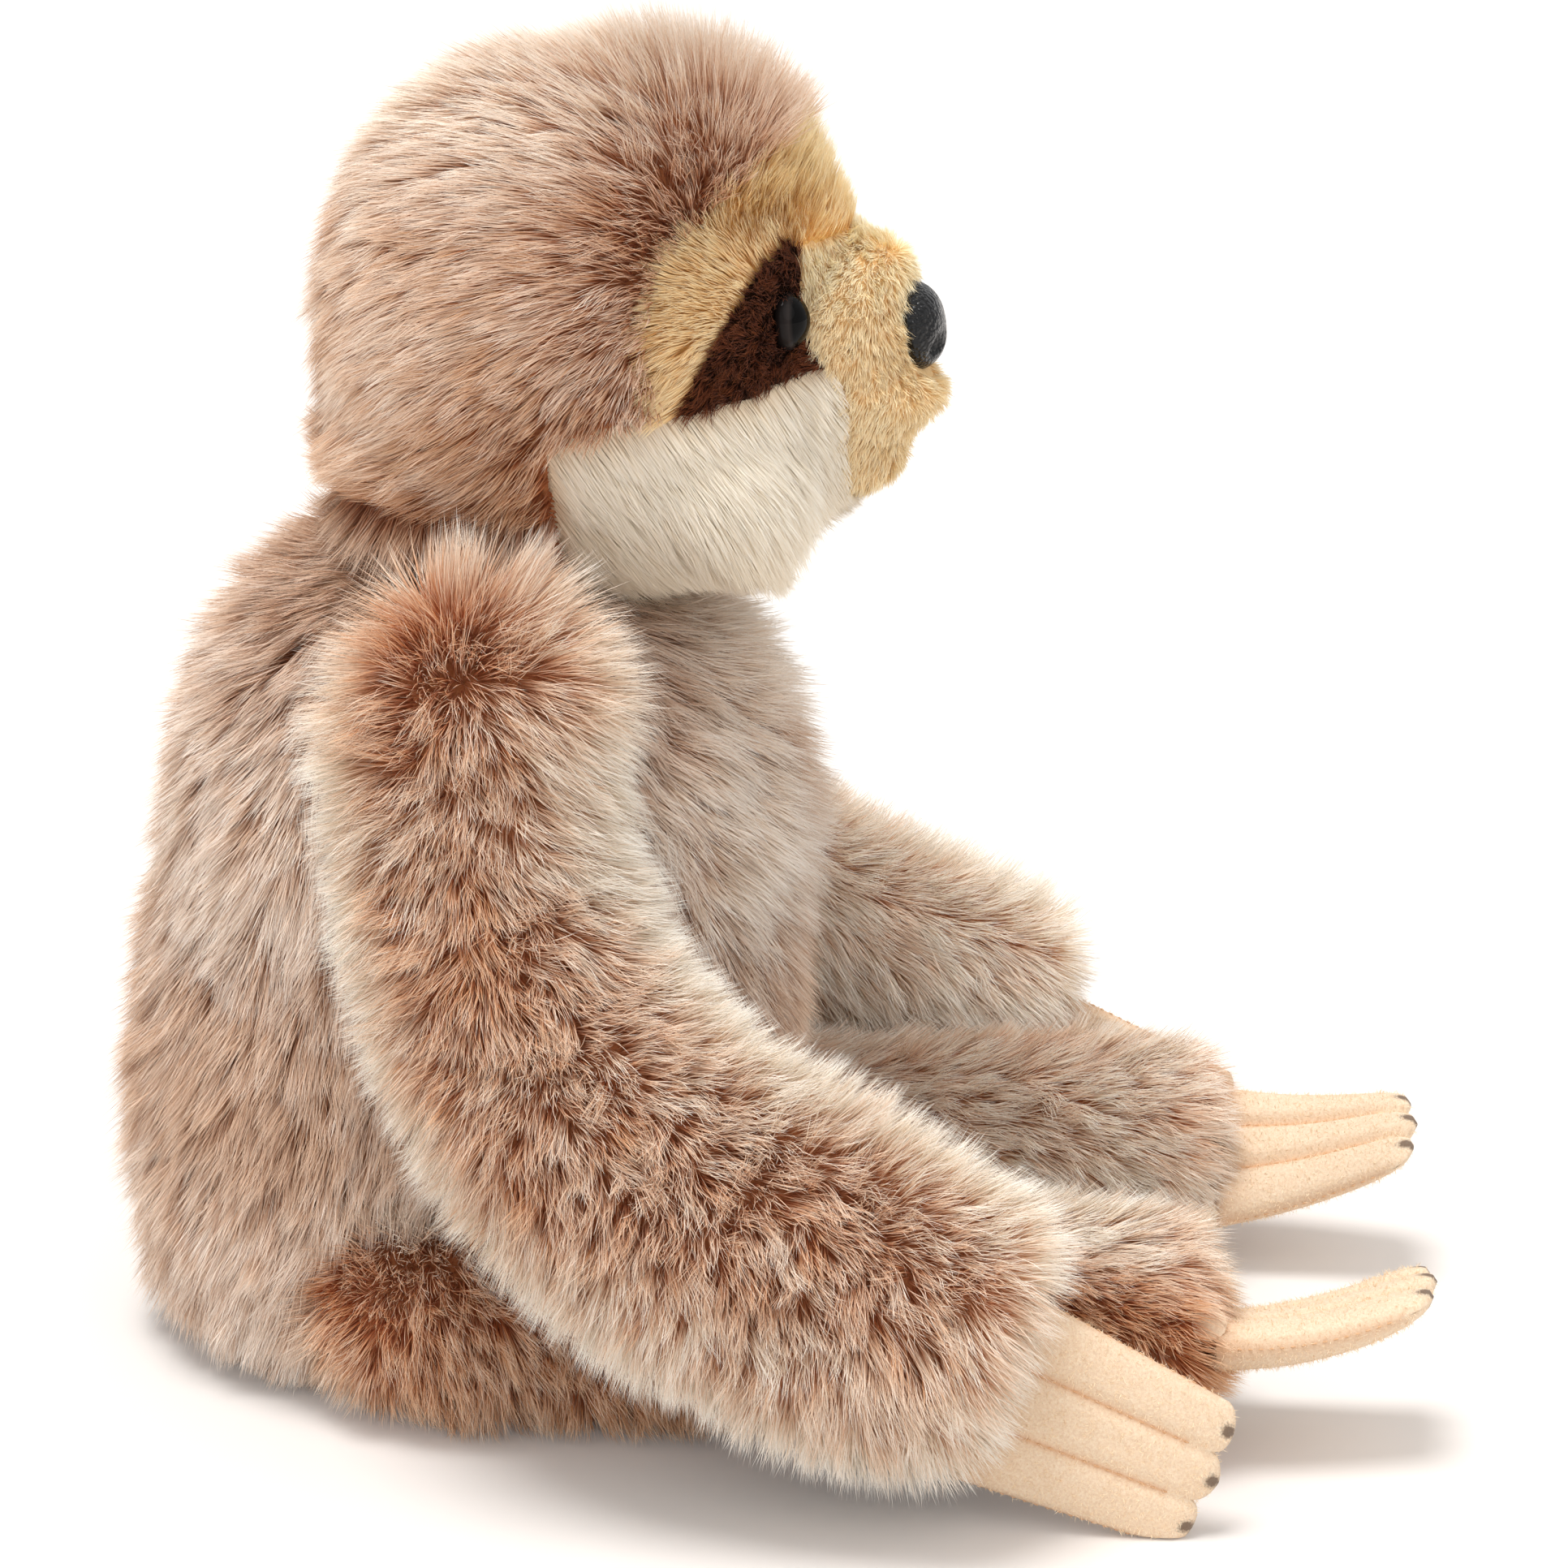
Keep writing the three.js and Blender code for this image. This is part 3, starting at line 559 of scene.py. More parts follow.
OWN_LEAN, LEAST_RISE, WIDTH_RANGE, ROLL = 0.6, 0.12, (0.75, 1.15), 1.6
SHADE_MEAN, SHADE_SPREAD, FINE_STREAKS, BROAD_STREAKS = 0.5, 0.17, 9, 34
ROOM_MARGIN, ROOM_START, ROOM_SHARE = 1.2, 0.3, 0.8
STRAND_POINTS = 7
STRAND_CORNERS = np.array([0, 1, 3, 2, 2, 3, 5, 4, 4, 5, 6], np.int32)
STRAND_STARTS = np.array([0, 4, 8], np.int32)
UV_SPAN = 0.004


def arc(heading, curl):
    """Paths of about unit length that start along heading and end along curl, at LEVELS."""
    t = LEVELS[None, :, None]
    return heading[:, None] * (t - t * t / 2) + curl[:, None] * (t * t / 2)


def strand_mesh(name, centres, side, tint, material, body):
    """Ribbons through centres (strand, level, xyz); side is half of each ribbon's width at its root."""
    count = len(centres)
    edge = side[:, None, :] * TAPER[None, :, None]
    points = np.empty((count, STRAND_POINTS, 3))
    points[:, 0:6:2] = centres[:, :3] - edge
    points[:, 1:6:2] = centres[:, :3] + edge
    points[:, 6] = centres[:, 3]
    strands = np.arange(count, dtype=np.int32)[:, None]
    corners = STRAND_CORNERS + STRAND_POINTS * strands
    starts = STRAND_STARTS + len(STRAND_CORNERS) * strands
    mesh = smooth_mesh(name, points.reshape(-1, 3), corners.ravel(), starts.ravel())
    uv = np.empty((count, len(STRAND_CORNERS), 2), np.float32)
    across = np.array([-1, 1, -1, 1, -1, 1, 0])[STRAND_CORNERS] * UV_SPAN
    uv[:, :, 0] = np.clip(tint, 0.01, 0.99)[:, None] + across
    uv[:, :, 1] = np.repeat(LEVELS, 2)[:STRAND_POINTS][STRAND_CORNERS]
    mesh.uv_layers.new(name=UV_NAME).data.foreach_set("uv", uv.ravel())
    mesh.materials.append(material)
    item = linked(name, mesh)
    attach(item, body)


def room_for(points, directions, lengths, body):
    """How long each strand can be before it meets another body's form."""
    lengths = lengths.copy()
    for other, tree in trees.items():
        if other == body:
            continue
        low, high = skins[other].points.min(0), skins[other].points.max(0)
        reach = lengths[:, None] * ROOM_MARGIN
        near = np.all((points + reach > low) & (points - reach < high), axis=1)
        for index in np.nonzero(near)[0]:
            direction = Vector(directions[index])
            start = Vector(points[index]) + direction * ROOM_START
            distance = tree.ray_cast(start, direction, lengths[index] * ROOM_MARGIN)[3]
            if distance is not None:
                lengths[index] = min(lengths[index], ROOM_SHARE * distance + ROOM_START)
    return lengths


class Field:
    """A value for each place. Fields add to and multiply with one another and numbers."""

    def __init__(self, values):
        self.values = values

    def __call__(self, points):
        return self.values(points)

    def joined_by(self, operation, other):
        return Field(lambda points: operation(self(points), other(points) if callable(other) else other))

    def __add__(self, other):
        return self.joined_by(np.add, other)

    def __mul__(self, other):
        return self.joined_by(np.multiply, other)

    def __sub__(self, other):
        return self.joined_by(np.subtract, other)

    def __rsub__(self, number):
        return Field(lambda points: number - self(points))

    __radd__, __rmul__ = __add__, __mul__


def even(value):
    return Field(lambda points: np.full(len(points), value))


def grow(name, body, kind, seed, comb, keep=even(True), tint=even(0.0), length_at=even(1.0),
         lay_at=even(1.0)):
    """Covers a body's form with pile, which leans from the normal towards comb.

    keep picks places, tint makes strands paler, and length_at and lay_at scale the pile's length and lean.
    """
    pile, skin = dict(zip(PILE_FIELDS, PILE[kind])), skins[body]
    spread, streaks = pile["spread"], pile["streaks"]
    rng = np.random.default_rng(seed)
    points, normals = scattered(skin.points, skin.triangles, skin.normals, pile["density"], rng)
    wanted = (points[:, 2] > LEAST_HEIGHT) & keep(points)
    points, normals = points[wanted], normals[wanted]
    count = len(points)

    # Each strand belongs to a tuft, and leans and curls much as its tuft does
    centres = rng.choice(count, max(1, int(count / (pile["density"] * pile["clump"] ** 2))), replace=False)
    tree = KDTree(len(centres))
    for number, centre in enumerate(centres):
        tree.insert(points[centre], number)
    tree.balance()
    tuft = np.fromiter((tree.find(point)[1] for point in points), int, count)
    tuft_lean = rng.normal(size=(len(centres), 3)) * spread

    flow = comb(points)
    flow = unit(flow - (flow * normals).sum(1, keepdims=True) * normals)
    swirl = np.cross(normals, flow) * (SWIRL * ripple(points, SWIRL_SCALE, seed + 1))[:, None]
    lay = pile["lay"] * lay_at(points) + LEAN_RIPPLE * ripple(points, LEAN_SCALE, seed + 2)
    angle = np.radians(lay)[:, None]
    heading = normals * np.cos(angle) + (flow + swirl) * np.sin(angle)
    heading = unit(heading + tuft_lean[tuft] + rng.normal(size=(count, 3)) * spread * OWN_LEAN)
    sunk = (heading * normals).sum(1, keepdims=True)
    heading = unit(heading + normals * np.maximum(0, LEAST_RISE - sunk))
    curl = unit(heading + pile["bend"] * flow + tuft_lean[tuft] + rng.normal(size=(count, 3)) * pile["curl"])
    lengths = pile["length"] * rng.uniform(*LENGTH_RANGE, count)
    lengths *= 1 + LENGTH_RIPPLE * ripple(points, LENGTH_SCALE, seed + 3)
    lengths = room_for(points, heading, lengths * length_at(points), body)
    fits = lengths > LEAST_LENGTH
    points, normals, heading, curl, lengths, tuft = (
        values[fits] for values in (points, normals, heading, curl, lengths, tuft))
    count = len(points)

    line = points[:, None] + arc(heading, curl) * lengths[:, None, None]
    members = np.maximum(np.bincount(tuft, minlength=len(centres)), 1)[:, None, None]
    totals = [summed(tuft, line[:, level], len(centres)) for level in range(len(LEVELS))]
    middle = np.stack(totals, axis=1) / members
    pull = pile["gather"] * rng.uniform(*PULL_RANGE, count)[:, None, None]
    line = line + pull * LEVELS[None, :, None] ** PULL_POWER * (middle[tuft] - line)
    line = on_floor(line, FLOOR_GAP + LIFT_SPAN * rng.random(count)[:, None] * LEVELS[None])

    tangent = unit(line[:, 3] - line[:, 0])
    facing = normals + rng.normal(size=(count, 3)) * ROLL * pile["curl"]
    side = unit(np.cross(tangent, facing)) * (pile["width"] / 2) * rng.uniform(*WIDTH_RANGE, count)[:, None]
    streaky = ripple(points, FINE_STREAKS, seed + 4) + ripple(points, BROAD_STREAKS, seed + 5)
    shade = rng.normal(SHADE_MEAN, SHADE_SPREAD, count) + streaks * streaky
    shade += rng.normal(0, streaks, len(centres))[tuft]
    shade += tint(points)
    parts = math.ceil(count / MOST_STRANDS)
    order = np.argsort(np.arctan2(points[:, 0], points[:, 1] - points[:, 1].mean()))
    for part, chosen in enumerate(np.array_split(order, parts)):
        part_name = name if parts == 1 else f"{name}_{part + 1}"
        strand_mesh(part_name, line[chosen], side[chosen], shade[chosen], FUR[kind], body)


def steady(*direction):
    return lambda points: np.broadcast_to(np.array(direction, float), points.shape)


def away_from(centre, down=0.0):
    return lambda points: unit(points - centre) - np.array([0, 0, down])


def on_panel(panel):
    return lambda points: head_panel(points) == panel


def from_line(line, points):
    """How far places are from a line of (ahead, height) corners, seen from the side."""
    spots = np.stack([ahead_of(points), points[:, 2]], axis=1)
    nearest = np.full(len(points), np.inf)
    for begin, end in zip(np.array(line, float), np.array(line[1:], float)):
        run = end - begin
        share = np.clip(((spots - begin) @ run) / (run @ run), 0, 1)[:, None]
        nearest = np.minimum(nearest, np.linalg.norm(spots - begin - share * run, axis=1))
    return nearest


def graded(measure):
    """Makes fields that rise from 0 to 1 between two values of a measure."""
    return lambda start, full: Field(lambda points: rising(measure(points), start, full))


def off_line(line):
    return graded(lambda points: from_line(line, points))


def sides_of(limb):
    """Measures towards a limb's outer and inner side, from the plane along its middle."""
    skin = skins[limb].points
    plane = np.linalg.lstsq(np.c_[np.ones(len(skin)), skin[:, 1:]], np.abs(skin[:, 0]), rcond=None)[0]

    def outward(points):
        return np.abs(points[:, 0]) - np.c_[np.ones(len(points)), points[:, 1:]] @ plane
    return graded(outward), graded(lambda points: -outward(points))


above = below = graded(lambda points: points[:, 2])
before, behind = graded(ahead_of), graded(lambda points: -ahead_of(points))
near_middle = graded(lambda points: np.abs(points[:, 0]))


def below_nape(points):
    """The strip of the head below the crease of the nape."""
    return (points[:, 2] < NAPE_CREASE) & (ahead_of(points) < -28)


def hood_comb(points):
    """Away from the face, and level above the crease of the nape."""
    flow = unit(points - place(10, 196))
    low = below(180, 164)(points)
    flow[:, 2] = flow[:, 2] * (1 - 0.9 * low) - 0.2 * (1 - low)
    return flow


NOSE = place(28, 187)
CHIN_EDGE = [(15, 184), (17, 179), (17.5, 160)]
# The hood is palest on the crown, darker and shorter at the face, and shorter in the crease of the nape,
# which is darkened with a painted shade
off_face = off_line(HOOD_EDGE + NAPE_EDGE)(0, 22)
# near_nape marks the crease of the nape, which the tints darken with a painted shade and where the pile is
# shorter
near_nape = Field(lambda points: hump(points[:, 2] - NAPE_CREASE, 5)) * behind(24, 32)
forelock = before(-28, -4) * above(203, 214)
hood_tint = 0.36 * off_face - 0.42 + 0.55 * above(208, 226) - 0.45 * near_nape
hood_length = (0.82 + 0.18 * off_face) * (1 - 0.15 * near_nape) * (1 + 0.3 * forelock)
# The band is palest over the brow, which reaches down to the muzzle, and longest under the hood
brow = above(203, 212).joined_by(np.maximum, above(194, 201) * near_middle(26, 12))
band_tint = 0.2 + 0.3 * brow - 0.1 * above(211, 218)
band_length = 1 + 0.3 * above(208, 215) - 0.45 * below(210, 203) * brow
# The jowl is short beside the chin, and long at its low front corners
jowl_front = before(-16, 4) * below(174, 158)
jowl_sides = 1 - near_middle(28, 4)
off_chin = off_line(CHIN_EDGE)(0, 10).joined_by(np.maximum, below(164, 158) * jowl_sides)
jowl_length = (0.4 + 0.6 * off_chin) * (1 + 0.35 * jowl_front * jowl_sides)
# The torso is pale and mottled on the chest and dark at the lower back, and darker at the neck under the head
# and on the belly behind the arms, a painted shade
chest = before(-25, -5) * above(70, 100)
mottle = -0.6 * chest * Field(lambda points: ripple(points, 15, 17))
lower_back = below(95, 60) * above(38, 55) * behind(30, 80)
# Painted shade on the belly behind the arms
belly = before(-45, -20) * below(92, 75)
# Painted shade at the neck, under the head
neck = above(132, 146) * behind(5, 25)
torso_tint = 0.02 + 0.56 * chest + mottle - 0.5 * lower_back - 0.45 * belly - 0.45 * neck
# The arms are longer at the top
shoulder_top = above(114, 136)
BUTTON_DEPTH = 12


def clear_of(spot, facing, reach):
    """Places that aren't under a round piece at a spot."""
    def outside(points):
        offset = points - spot
        height = offset @ facing
        beside = np.linalg.norm(offset - height[:, None] * facing, axis=1) > reach
        return beside | (np.abs(height) > BUTTON_DEPTH)
    return outside


def both(first, second):
    return lambda points: first(points) & second(points)


EYE_SPACING, EYE_HEIGHT, EYE_RADIUS, EYE_SINK = 23.5, 192.0, 5.1, 0.8
NOSE_HEIGHT, NOSE_REACH = 187.2, 9.3
nose_spot, nose_facing = form_spot(MUZZLE, 0.0, NOSE_HEIGHT)
eye_spots = {side: form_spot(CRANIUM, sign * EYE_SPACING, EYE_HEIGHT) for side, sign in SIDES}

grow("torso_fur", "torso", "torso", SEED["torso"], steady(0, 0, -1), tint=torso_tint,
     lay_at=1 - 0.5 * chest, length_at=1 + 0.3 * chest)
for side, sign in SIDES:
    arm, leg = f"arm_{side}", f"leg_{side}"
    # Darkest along the middle of the upper arm's outer side, and palest at the paw; darker at the top under
    # the head and on the inner side against the body, a painted shade
    outer, inner = sides_of(arm)
    depth = (0.65 + 0.2 * above(75, 105)) * (1 - 0.4 * shoulder_top)
    arm_tint = (0.5 - depth * outer(3, 15) + 0.25 * below(62, 38)
                - 0.5 * above(122, 145) - 0.3 * inner(4, 14))
    grow(f"arm_fur_{side}", arm, "limb", SEED["arm"] + sign, steady(0, -0.5, -0.8),
         tint=arm_tint, length_at=1 + 0.26 * shoulder_top, lay_at=1 + 1.6 * inner(0, 12))
    # Pale on top, inside and at the haunch, darkest low on the outer side of its end with a painted shade
    # under the arm's paw, and flatter on top
    outer, inner = sides_of(leg)
    pale = 0.7 * above(29, 38).joined_by(np.maximum, inner(-2, 8))
    # Painted shade low on the leg's end, under the arm's paw
    low_end = before(-30, 0) * below(40, 30)
    flat = above(27, 37).joined_by(np.maximum, 0.7 * inner(0, 12))
    grow(f"leg_fur_{side}", leg, "limb", SEED["leg"] + sign, steady(0, -1, -0.25),
         tint=pale - 0.32 + 0.25 * behind(50, 75) - 0.2 * low_end * outer(-4, 4), length_at=even(0.9),
         lay_at=1 + 2.1 * before(-45, 0) * flat)
# The strip below the nape's crease is darker near the crease, a painted shade
grow("nape_fur", "head", "torso", SEED["nape"], steady(0, 0, -1),
     both(on_panel("hood"), below_nape), tint=-0.45 * near_nape, lay_at=even(0.6))
grow("hood_fur", "head", "hood", SEED["hood"], hood_comb,
     both(on_panel("hood"), lambda points: ~below_nape(points)), tint=hood_tint, length_at=hood_length,
     lay_at=(0.25 + 0.85 * off_face) * (1 - 0.4 * forelock))
grow("band_fur", "head", "band", SEED["band"], away_from(place(16, 188)), on_panel("band"),
     tint=band_tint, length_at=band_length, lay_at=1 - 0.75 * brow)
grow("muzzle_fur", "head", "muzzle", SEED["muzzle"], steady(0, 0.6, -0.8),
     both(on_panel("muzzle"), clear_of(nose_spot, nose_facing, NOSE_REACH)), tint=0.4 * above(190, 199))
# The jowl's lower part is darker, a painted shade on its underside
grow("jowl_fur", "head", "jowl", SEED["jowl"], steady(0, -0.5, -0.8), on_panel("jowl"),
     tint=0.15 - 0.5 * below(166, 152), length_at=jowl_length, lay_at=1 - 0.35 * jowl_front)
for side, sign in SIDES:
    grow(f"patch_fur_{side}", "head", "patch", SEED["patch"] + sign, away_from(NOSE, 0.2),
         both(on_panel(f"patch_{side}"), clear_of(*eye_spots[side], EYE_RADIUS * EYE_SINK)))


# Claws: felt paddles sewn into three channels


def felt_material():
    """Mottled felt, darker along its grooves, side seams and root with a painted shade, and painted at the
    tips.
    """
    material, nodes, shader = new_material("felt")
    base = ramp(nodes, object_noise(nodes, 2000, 6.0, 0.75),
                stops((0.25, 220, 186, 154), (0.5, 238, 213, 184), (0.75, 249, 234, 210)))
    # Painted shade: a deeper orange-brown in the grooves, at the side seams and at the root under the fur
    shaded_seams = mixed(nodes, attribute(nodes, "groove"), base, linear(214, 160, 116))
    ragged = calculated(nodes, "MULTIPLY_ADD", object_noise(nodes, 2600, 3.0), 0.9, attribute(nodes, "paint"))
    covered = ramp(nodes, ragged, [(0.55, (0, 0, 0, 1)), (1.0, (0.8, 0.8, 0.8, 1))])
    feed(shader, Base_Color=mixed(nodes, covered, shaded_seams, linear(66, 38, 26)), Roughness=0.95,
         Specular_IOR_Level=0.12, Sheen_Weight=0.1, Sheen_Roughness=0.6,
         Normal=bump(nodes, object_noise(nodes, 2400, 4.0, 0.8), 0.4, 0.0004))
    return material


FELT = felt_material()
THREAD = grained("thread", (232, 192, 152), (212, 162, 118), 3200, 0.0, 0.85, detail=3.0, strength=0.0)
FUR["fuzz"] = fur_material("felt_fuzz", ((0.0, 246, 216, 176), (1.0, 250, 226, 192)),
                           ((0.0, 250, 226, 192), (1.0, 255, 244, 222)))
CLAW_START, LONGER_MIDDLE = 1.2, 1.5
CLAW_ROWS, CLAW_COLUMNS, ROW_POWER = 44, 54, 0.8
GROOVE_WIDTH, GROOVE_LIMIT, TIP_ROUND = 0.3, 0.85, 0.98
CROWN, SIDE_POWER, TIP_POWER, TWIST_START = 0.22, 6, 8, 0.2
DAB_INSET, DAB_WIDTH = 1.0, 0.24
# How much painted shade darkens the felt along the channel lines, the side seams and the root
LINE_SHADE, LINE_WIDTH, LINE_LIMIT, LINE_END = 0.7, 0.1, 0.8, 0.86
RIM_SHADE, RIM_WIDTH, RIM_END = 0.4, 0.035, 0.93
ROOT_SHADE, ROOT_RUN = 0.3, 0.12
FELT_GAP = 0.2
WELD, SLIVER = 0.00002, 0.00001


def claw_place(across, along, level, claws):
    """A place on a paddle, in the paddle's own frame, and where it lies across its channel (-1 to 1).

    across is -1 to 1, along 0 to 1, and level -1 to 1 through the thickness.
    """
    lobe = np.clip((across + 1) * 1.5, 0, 2.999)
    local = 2 * (lobe - np.floor(lobe)) - 1
    tip_round = claws["notch"] * (1 - np.sqrt(np.maximum(0, 1 - local ** 2 * TIP_ROUND)))
    reach = claws["length"] + LONGER_MIDDLE * (1 - np.abs(across)) - tip_round
    y = -(CLAW_START + along * (reach - CLAW_START))
    share = -y / claws["length"]
    half = claws["root"] + (claws["tip"] - claws["root"]) * share
    groove = hump(1 - np.abs(local), GROOVE_WIDTH) * (np.abs(across) < GROOVE_LIMIT)
    thick = (claws["thick"] + (claws["thin"] - claws["thick"]) * share) * (1 - CROWN * across ** 2)
    edge = (np.sqrt(np.maximum(0, 1 - np.abs(across) ** SIDE_POWER))
            * np.sqrt(np.maximum(0, 1 - along ** TIP_POWER)))
    x = across * half
    z = level * (thick - claws["relief"] * groove) * edge
    turn = claws["twist"] * (share - TWIST_START)
    x, z = x * np.cos(turn) + z * np.sin(turn), z * np.cos(turn) - x * np.sin(turn)
    z = z + claws["bend"] * share ** 2
    return np.stack([x, y, z], -1), local


def paddle(name, matrix, claws, body, nodes):
    """The felt of one set of claws: two faces that meet at the sides and the tips."""
    across = np.linspace(-1, 1, CLAW_COLUMNS + 1)
    along = np.linspace(0, 1, CLAW_ROWS + 1) ** ROW_POWER
    along, across = np.meshgrid(along, across, indexing="ij")
    places, paints, grooves = [], [], []
    for level in (1, -1):
        spot, local = claw_place(across, along, level, claws)
        from_tip = (1 - along) * claws["length"]
        dab = np.exp(-((from_tip - DAB_INSET) / claws["dab"]) ** 2 - (local / DAB_WIDTH) ** 2)
        line = hump(1 - np.abs(local), LINE_WIDTH) * (np.abs(across) < LINE_LIMIT) * (along < LINE_END)
        rim = hump(1 - np.abs(across), RIM_WIDTH) * (along < RIM_END)
        # Painted shade along the channel grooves, the side seams and the root under the fur
        shaded_seams = LINE_SHADE * line + RIM_SHADE * rim + ROOT_SHADE * hump(along, ROOT_RUN)
        places.append(spot.reshape(-1, 3))
        paints.append(dab.ravel())
        grooves.append(shaded_seams.clip(0, 1).ravel())
    width, layer = CLAW_COLUMNS + 1, (CLAW_COLUMNS + 1) * (CLAW_ROWS + 1)
    faces = []
    for row in range(CLAW_ROWS):
        for column in range(CLAW_COLUMNS):
            a = row * width + column
            b = layer + a
            faces += [(a, a + width, a + width + 1, a + 1), (b, b + 1, b + width + 1, b + width)]
    for column in range(CLAW_COLUMNS):
        faces.append((column, column + 1, layer + column + 1, layer + column))
    item = mesh_object(name, on_floor(moved(matrix, np.concatenate(places)), FELT_GAP), faces, FELT)
    for key, values in (("paint", paints), ("groove", grooves)):
        field = item.data.attributes.new(key, "FLOAT", "POINT")
        field.data.foreach_set("value", np.concatenate(values).astype(np.float32))
    tidy = bmesh.new()
    tidy.from_mesh(item.data)
    bmesh.ops.remove_doubles(tidy, verts=tidy.verts, dist=WELD)
    bmesh.ops.dissolve_degenerate(tidy, edges=tidy.edges, dist=SLIVER)
    bmesh.ops.recalc_face_normals(tidy, faces=tidy.faces)
    tidy.to_mesh(item.data)
    tidy.free()
    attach(item, body)
    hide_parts(*nodes)
    return item


CHANNEL_LINES = [(across, level) for across in (-1 / 3, 1 / 3) for level in (1, -1)]
SEAM_LINES = [(-0.995, 0), (0.995, 0)]
STITCH_STARTS, STITCH_RUN = np.linspace(0.1, 0.85, 15), 0.034
STITCH_SECTIONS = ((0.06, -0.1), (0.17, 0.08), (0.17, 0.08), (0.06, -0.1))
STITCH_SIDES = 5


def stitches(name, matrix, claws, body):
    """Thread dashes along the two channel lines, on both faces, and along the side seams."""
    points, faces = [], []
    ring = np.arange(STITCH_SIDES) * 2 * math.pi / STITCH_SIDES
    sections = len(STITCH_SECTIONS)
    for across, level in CHANNEL_LINES + SEAM_LINES:
        for begin, end in zip(STITCH_STARTS, STITCH_STARTS + STITCH_RUN):
            spots, _ = claw_place(np.full(sections, across), np.linspace(begin, end, sections), level, claws)
            direction = unit(spots[-1] - spots[0])
            lift = np.array([0, 0, 1.0]) if level else np.array([np.sign(across), 0, 0.0])
            other = unit(np.cross(direction, lift))
            if level:
                lift = np.cross(other, direction) * level
            start = len(points)
            for spot, (radius, rise) in zip(spots, STITCH_SECTIONS):
                for angle in ring:
                    off = radius * (math.cos(angle) * other + math.sin(angle) * lift)
                    points.append(spot + lift * rise + off)
            for section in range(start, start + (sections - 1) * STITCH_SIDES, STITCH_SIDES):
                for k in range(STITCH_SIDES):
                    a, b = section + k, section + (k + 1) % STITCH_SIDES
                    faces.append((a, b, b + STITCH_SIDES, a + STITCH_SIDES))
    item = mesh_object(name, on_floor(moved(matrix, points), FELT_GAP), faces, THREAD)
    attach(item, body)


FUZZ = dict(density=2.4, spread=0.7, curl=0.8, shortest=0.5, longest=1.4, half_width=0.05, least_paint=0.2)


def fuzz(name, item, body, seed):
    """Loose fibres that stand off the felt where it isn't painted."""
    rng = np.random.default_rng(seed)
    mesh = item.data
    triangles = triangles_of(mesh)
    paint = read(mesh.attributes["paint"].data, "value", 1)[:, 0]
    bare = triangles[paint[triangles].mean(1) < FUZZ["least_paint"]]
    points, outward = scattered(points_of(mesh), bare, normals_of(mesh), FUZZ["density"], rng)
    count = len(points)
    heading = unit(outward + rng.normal(size=(count, 3)) * FUZZ["spread"])
    curl = unit(heading + rng.normal(size=(count, 3)) * FUZZ["curl"])
    lengths = rng.uniform(FUZZ["shortest"], FUZZ["longest"], count)
    line = on_floor(points[:, None] + arc(heading, curl) * lengths[:, None, None], FELT_GAP)
    side = unit(np.cross(heading, rng.normal(size=(count, 3)))) * FUZZ["half_width"]
    strand_mesh(name, line, side, rng.random(count), FUR["fuzz"], body)


LEAN, HAND_SLOPE, FOOT_SLOPE = (math.radians(angle) for angle in (8.5, -21.45, 1.03))
FOOT_ROLL = {"left": math.radians(30.0), "right": math.radians(16.0)}
HAND = dict(length=40.0, root=17.2, tip=13.2, thick=3.3, thin=2.2, relief=0.8, notch=2.6, bend=0.0, dab=1.1)
FOOT = dict(length=37.5, root=16.0, tip=11.8, thick=4.8, thin=4.0, relief=1.7, notch=3.4, bend=10.0, dab=2.0)
FOOT_TWIST = {"left": 0.4, "right": 0.2}
for side, sign in SIDES:
    turns = {
        "hand": (Matrix.Rotation(-sign * LEAN, 4, "Y") @ Matrix.Rotation(-HAND_SLOPE, 4, "X")
                 @ Matrix.Rotation(sign * math.pi / 2, 4, "Y")),
        "foot": Matrix.Rotation(-FOOT_SLOPE, 4, "X") @ Matrix.Rotation(-sign * FOOT_ROLL[side], 4, "Y"),
    }
    for limb, claws in (("hand", HAND), ("foot", FOOT)):
        body = f"{limb}_{side}"
        twisted = dict(claws, twist=sign * FOOT_TWIST[side] if limb == "foot" else 0.0)
        matrix = Matrix.Translation(joint_place[f"{limb}_claws_flex_{side}"]) @ turns[limb]
        felt = paddle(f"{limb}_claws_{side}", matrix, twisted, body,
                      [f"{limb}_claws_top_{side}", f"{limb}_claws_bottom_{side}"])
        stitches(f"{limb}_stitches_{side}", matrix, twisted, body)
        fuzz(f"{limb}_fuzz_{side}", felt, body, SEED[limb] + sign)


# Eyes and nose


def pointing(spot, facing):
    """A frame at a spot whose Z axis points out of the surface and whose Y axis is near to up."""
    z = Vector(facing).normalized()
    x = Vector((0, 0, 1)).cross(z).normalized()
    y = z.cross(x)
    matrix = Matrix((x, y, z)).transposed().to_4x4()
    matrix.translation = Vector(spot)
    return matrix


BUTTON_BACK, BUTTON_TAPER = -0.9, 0.96


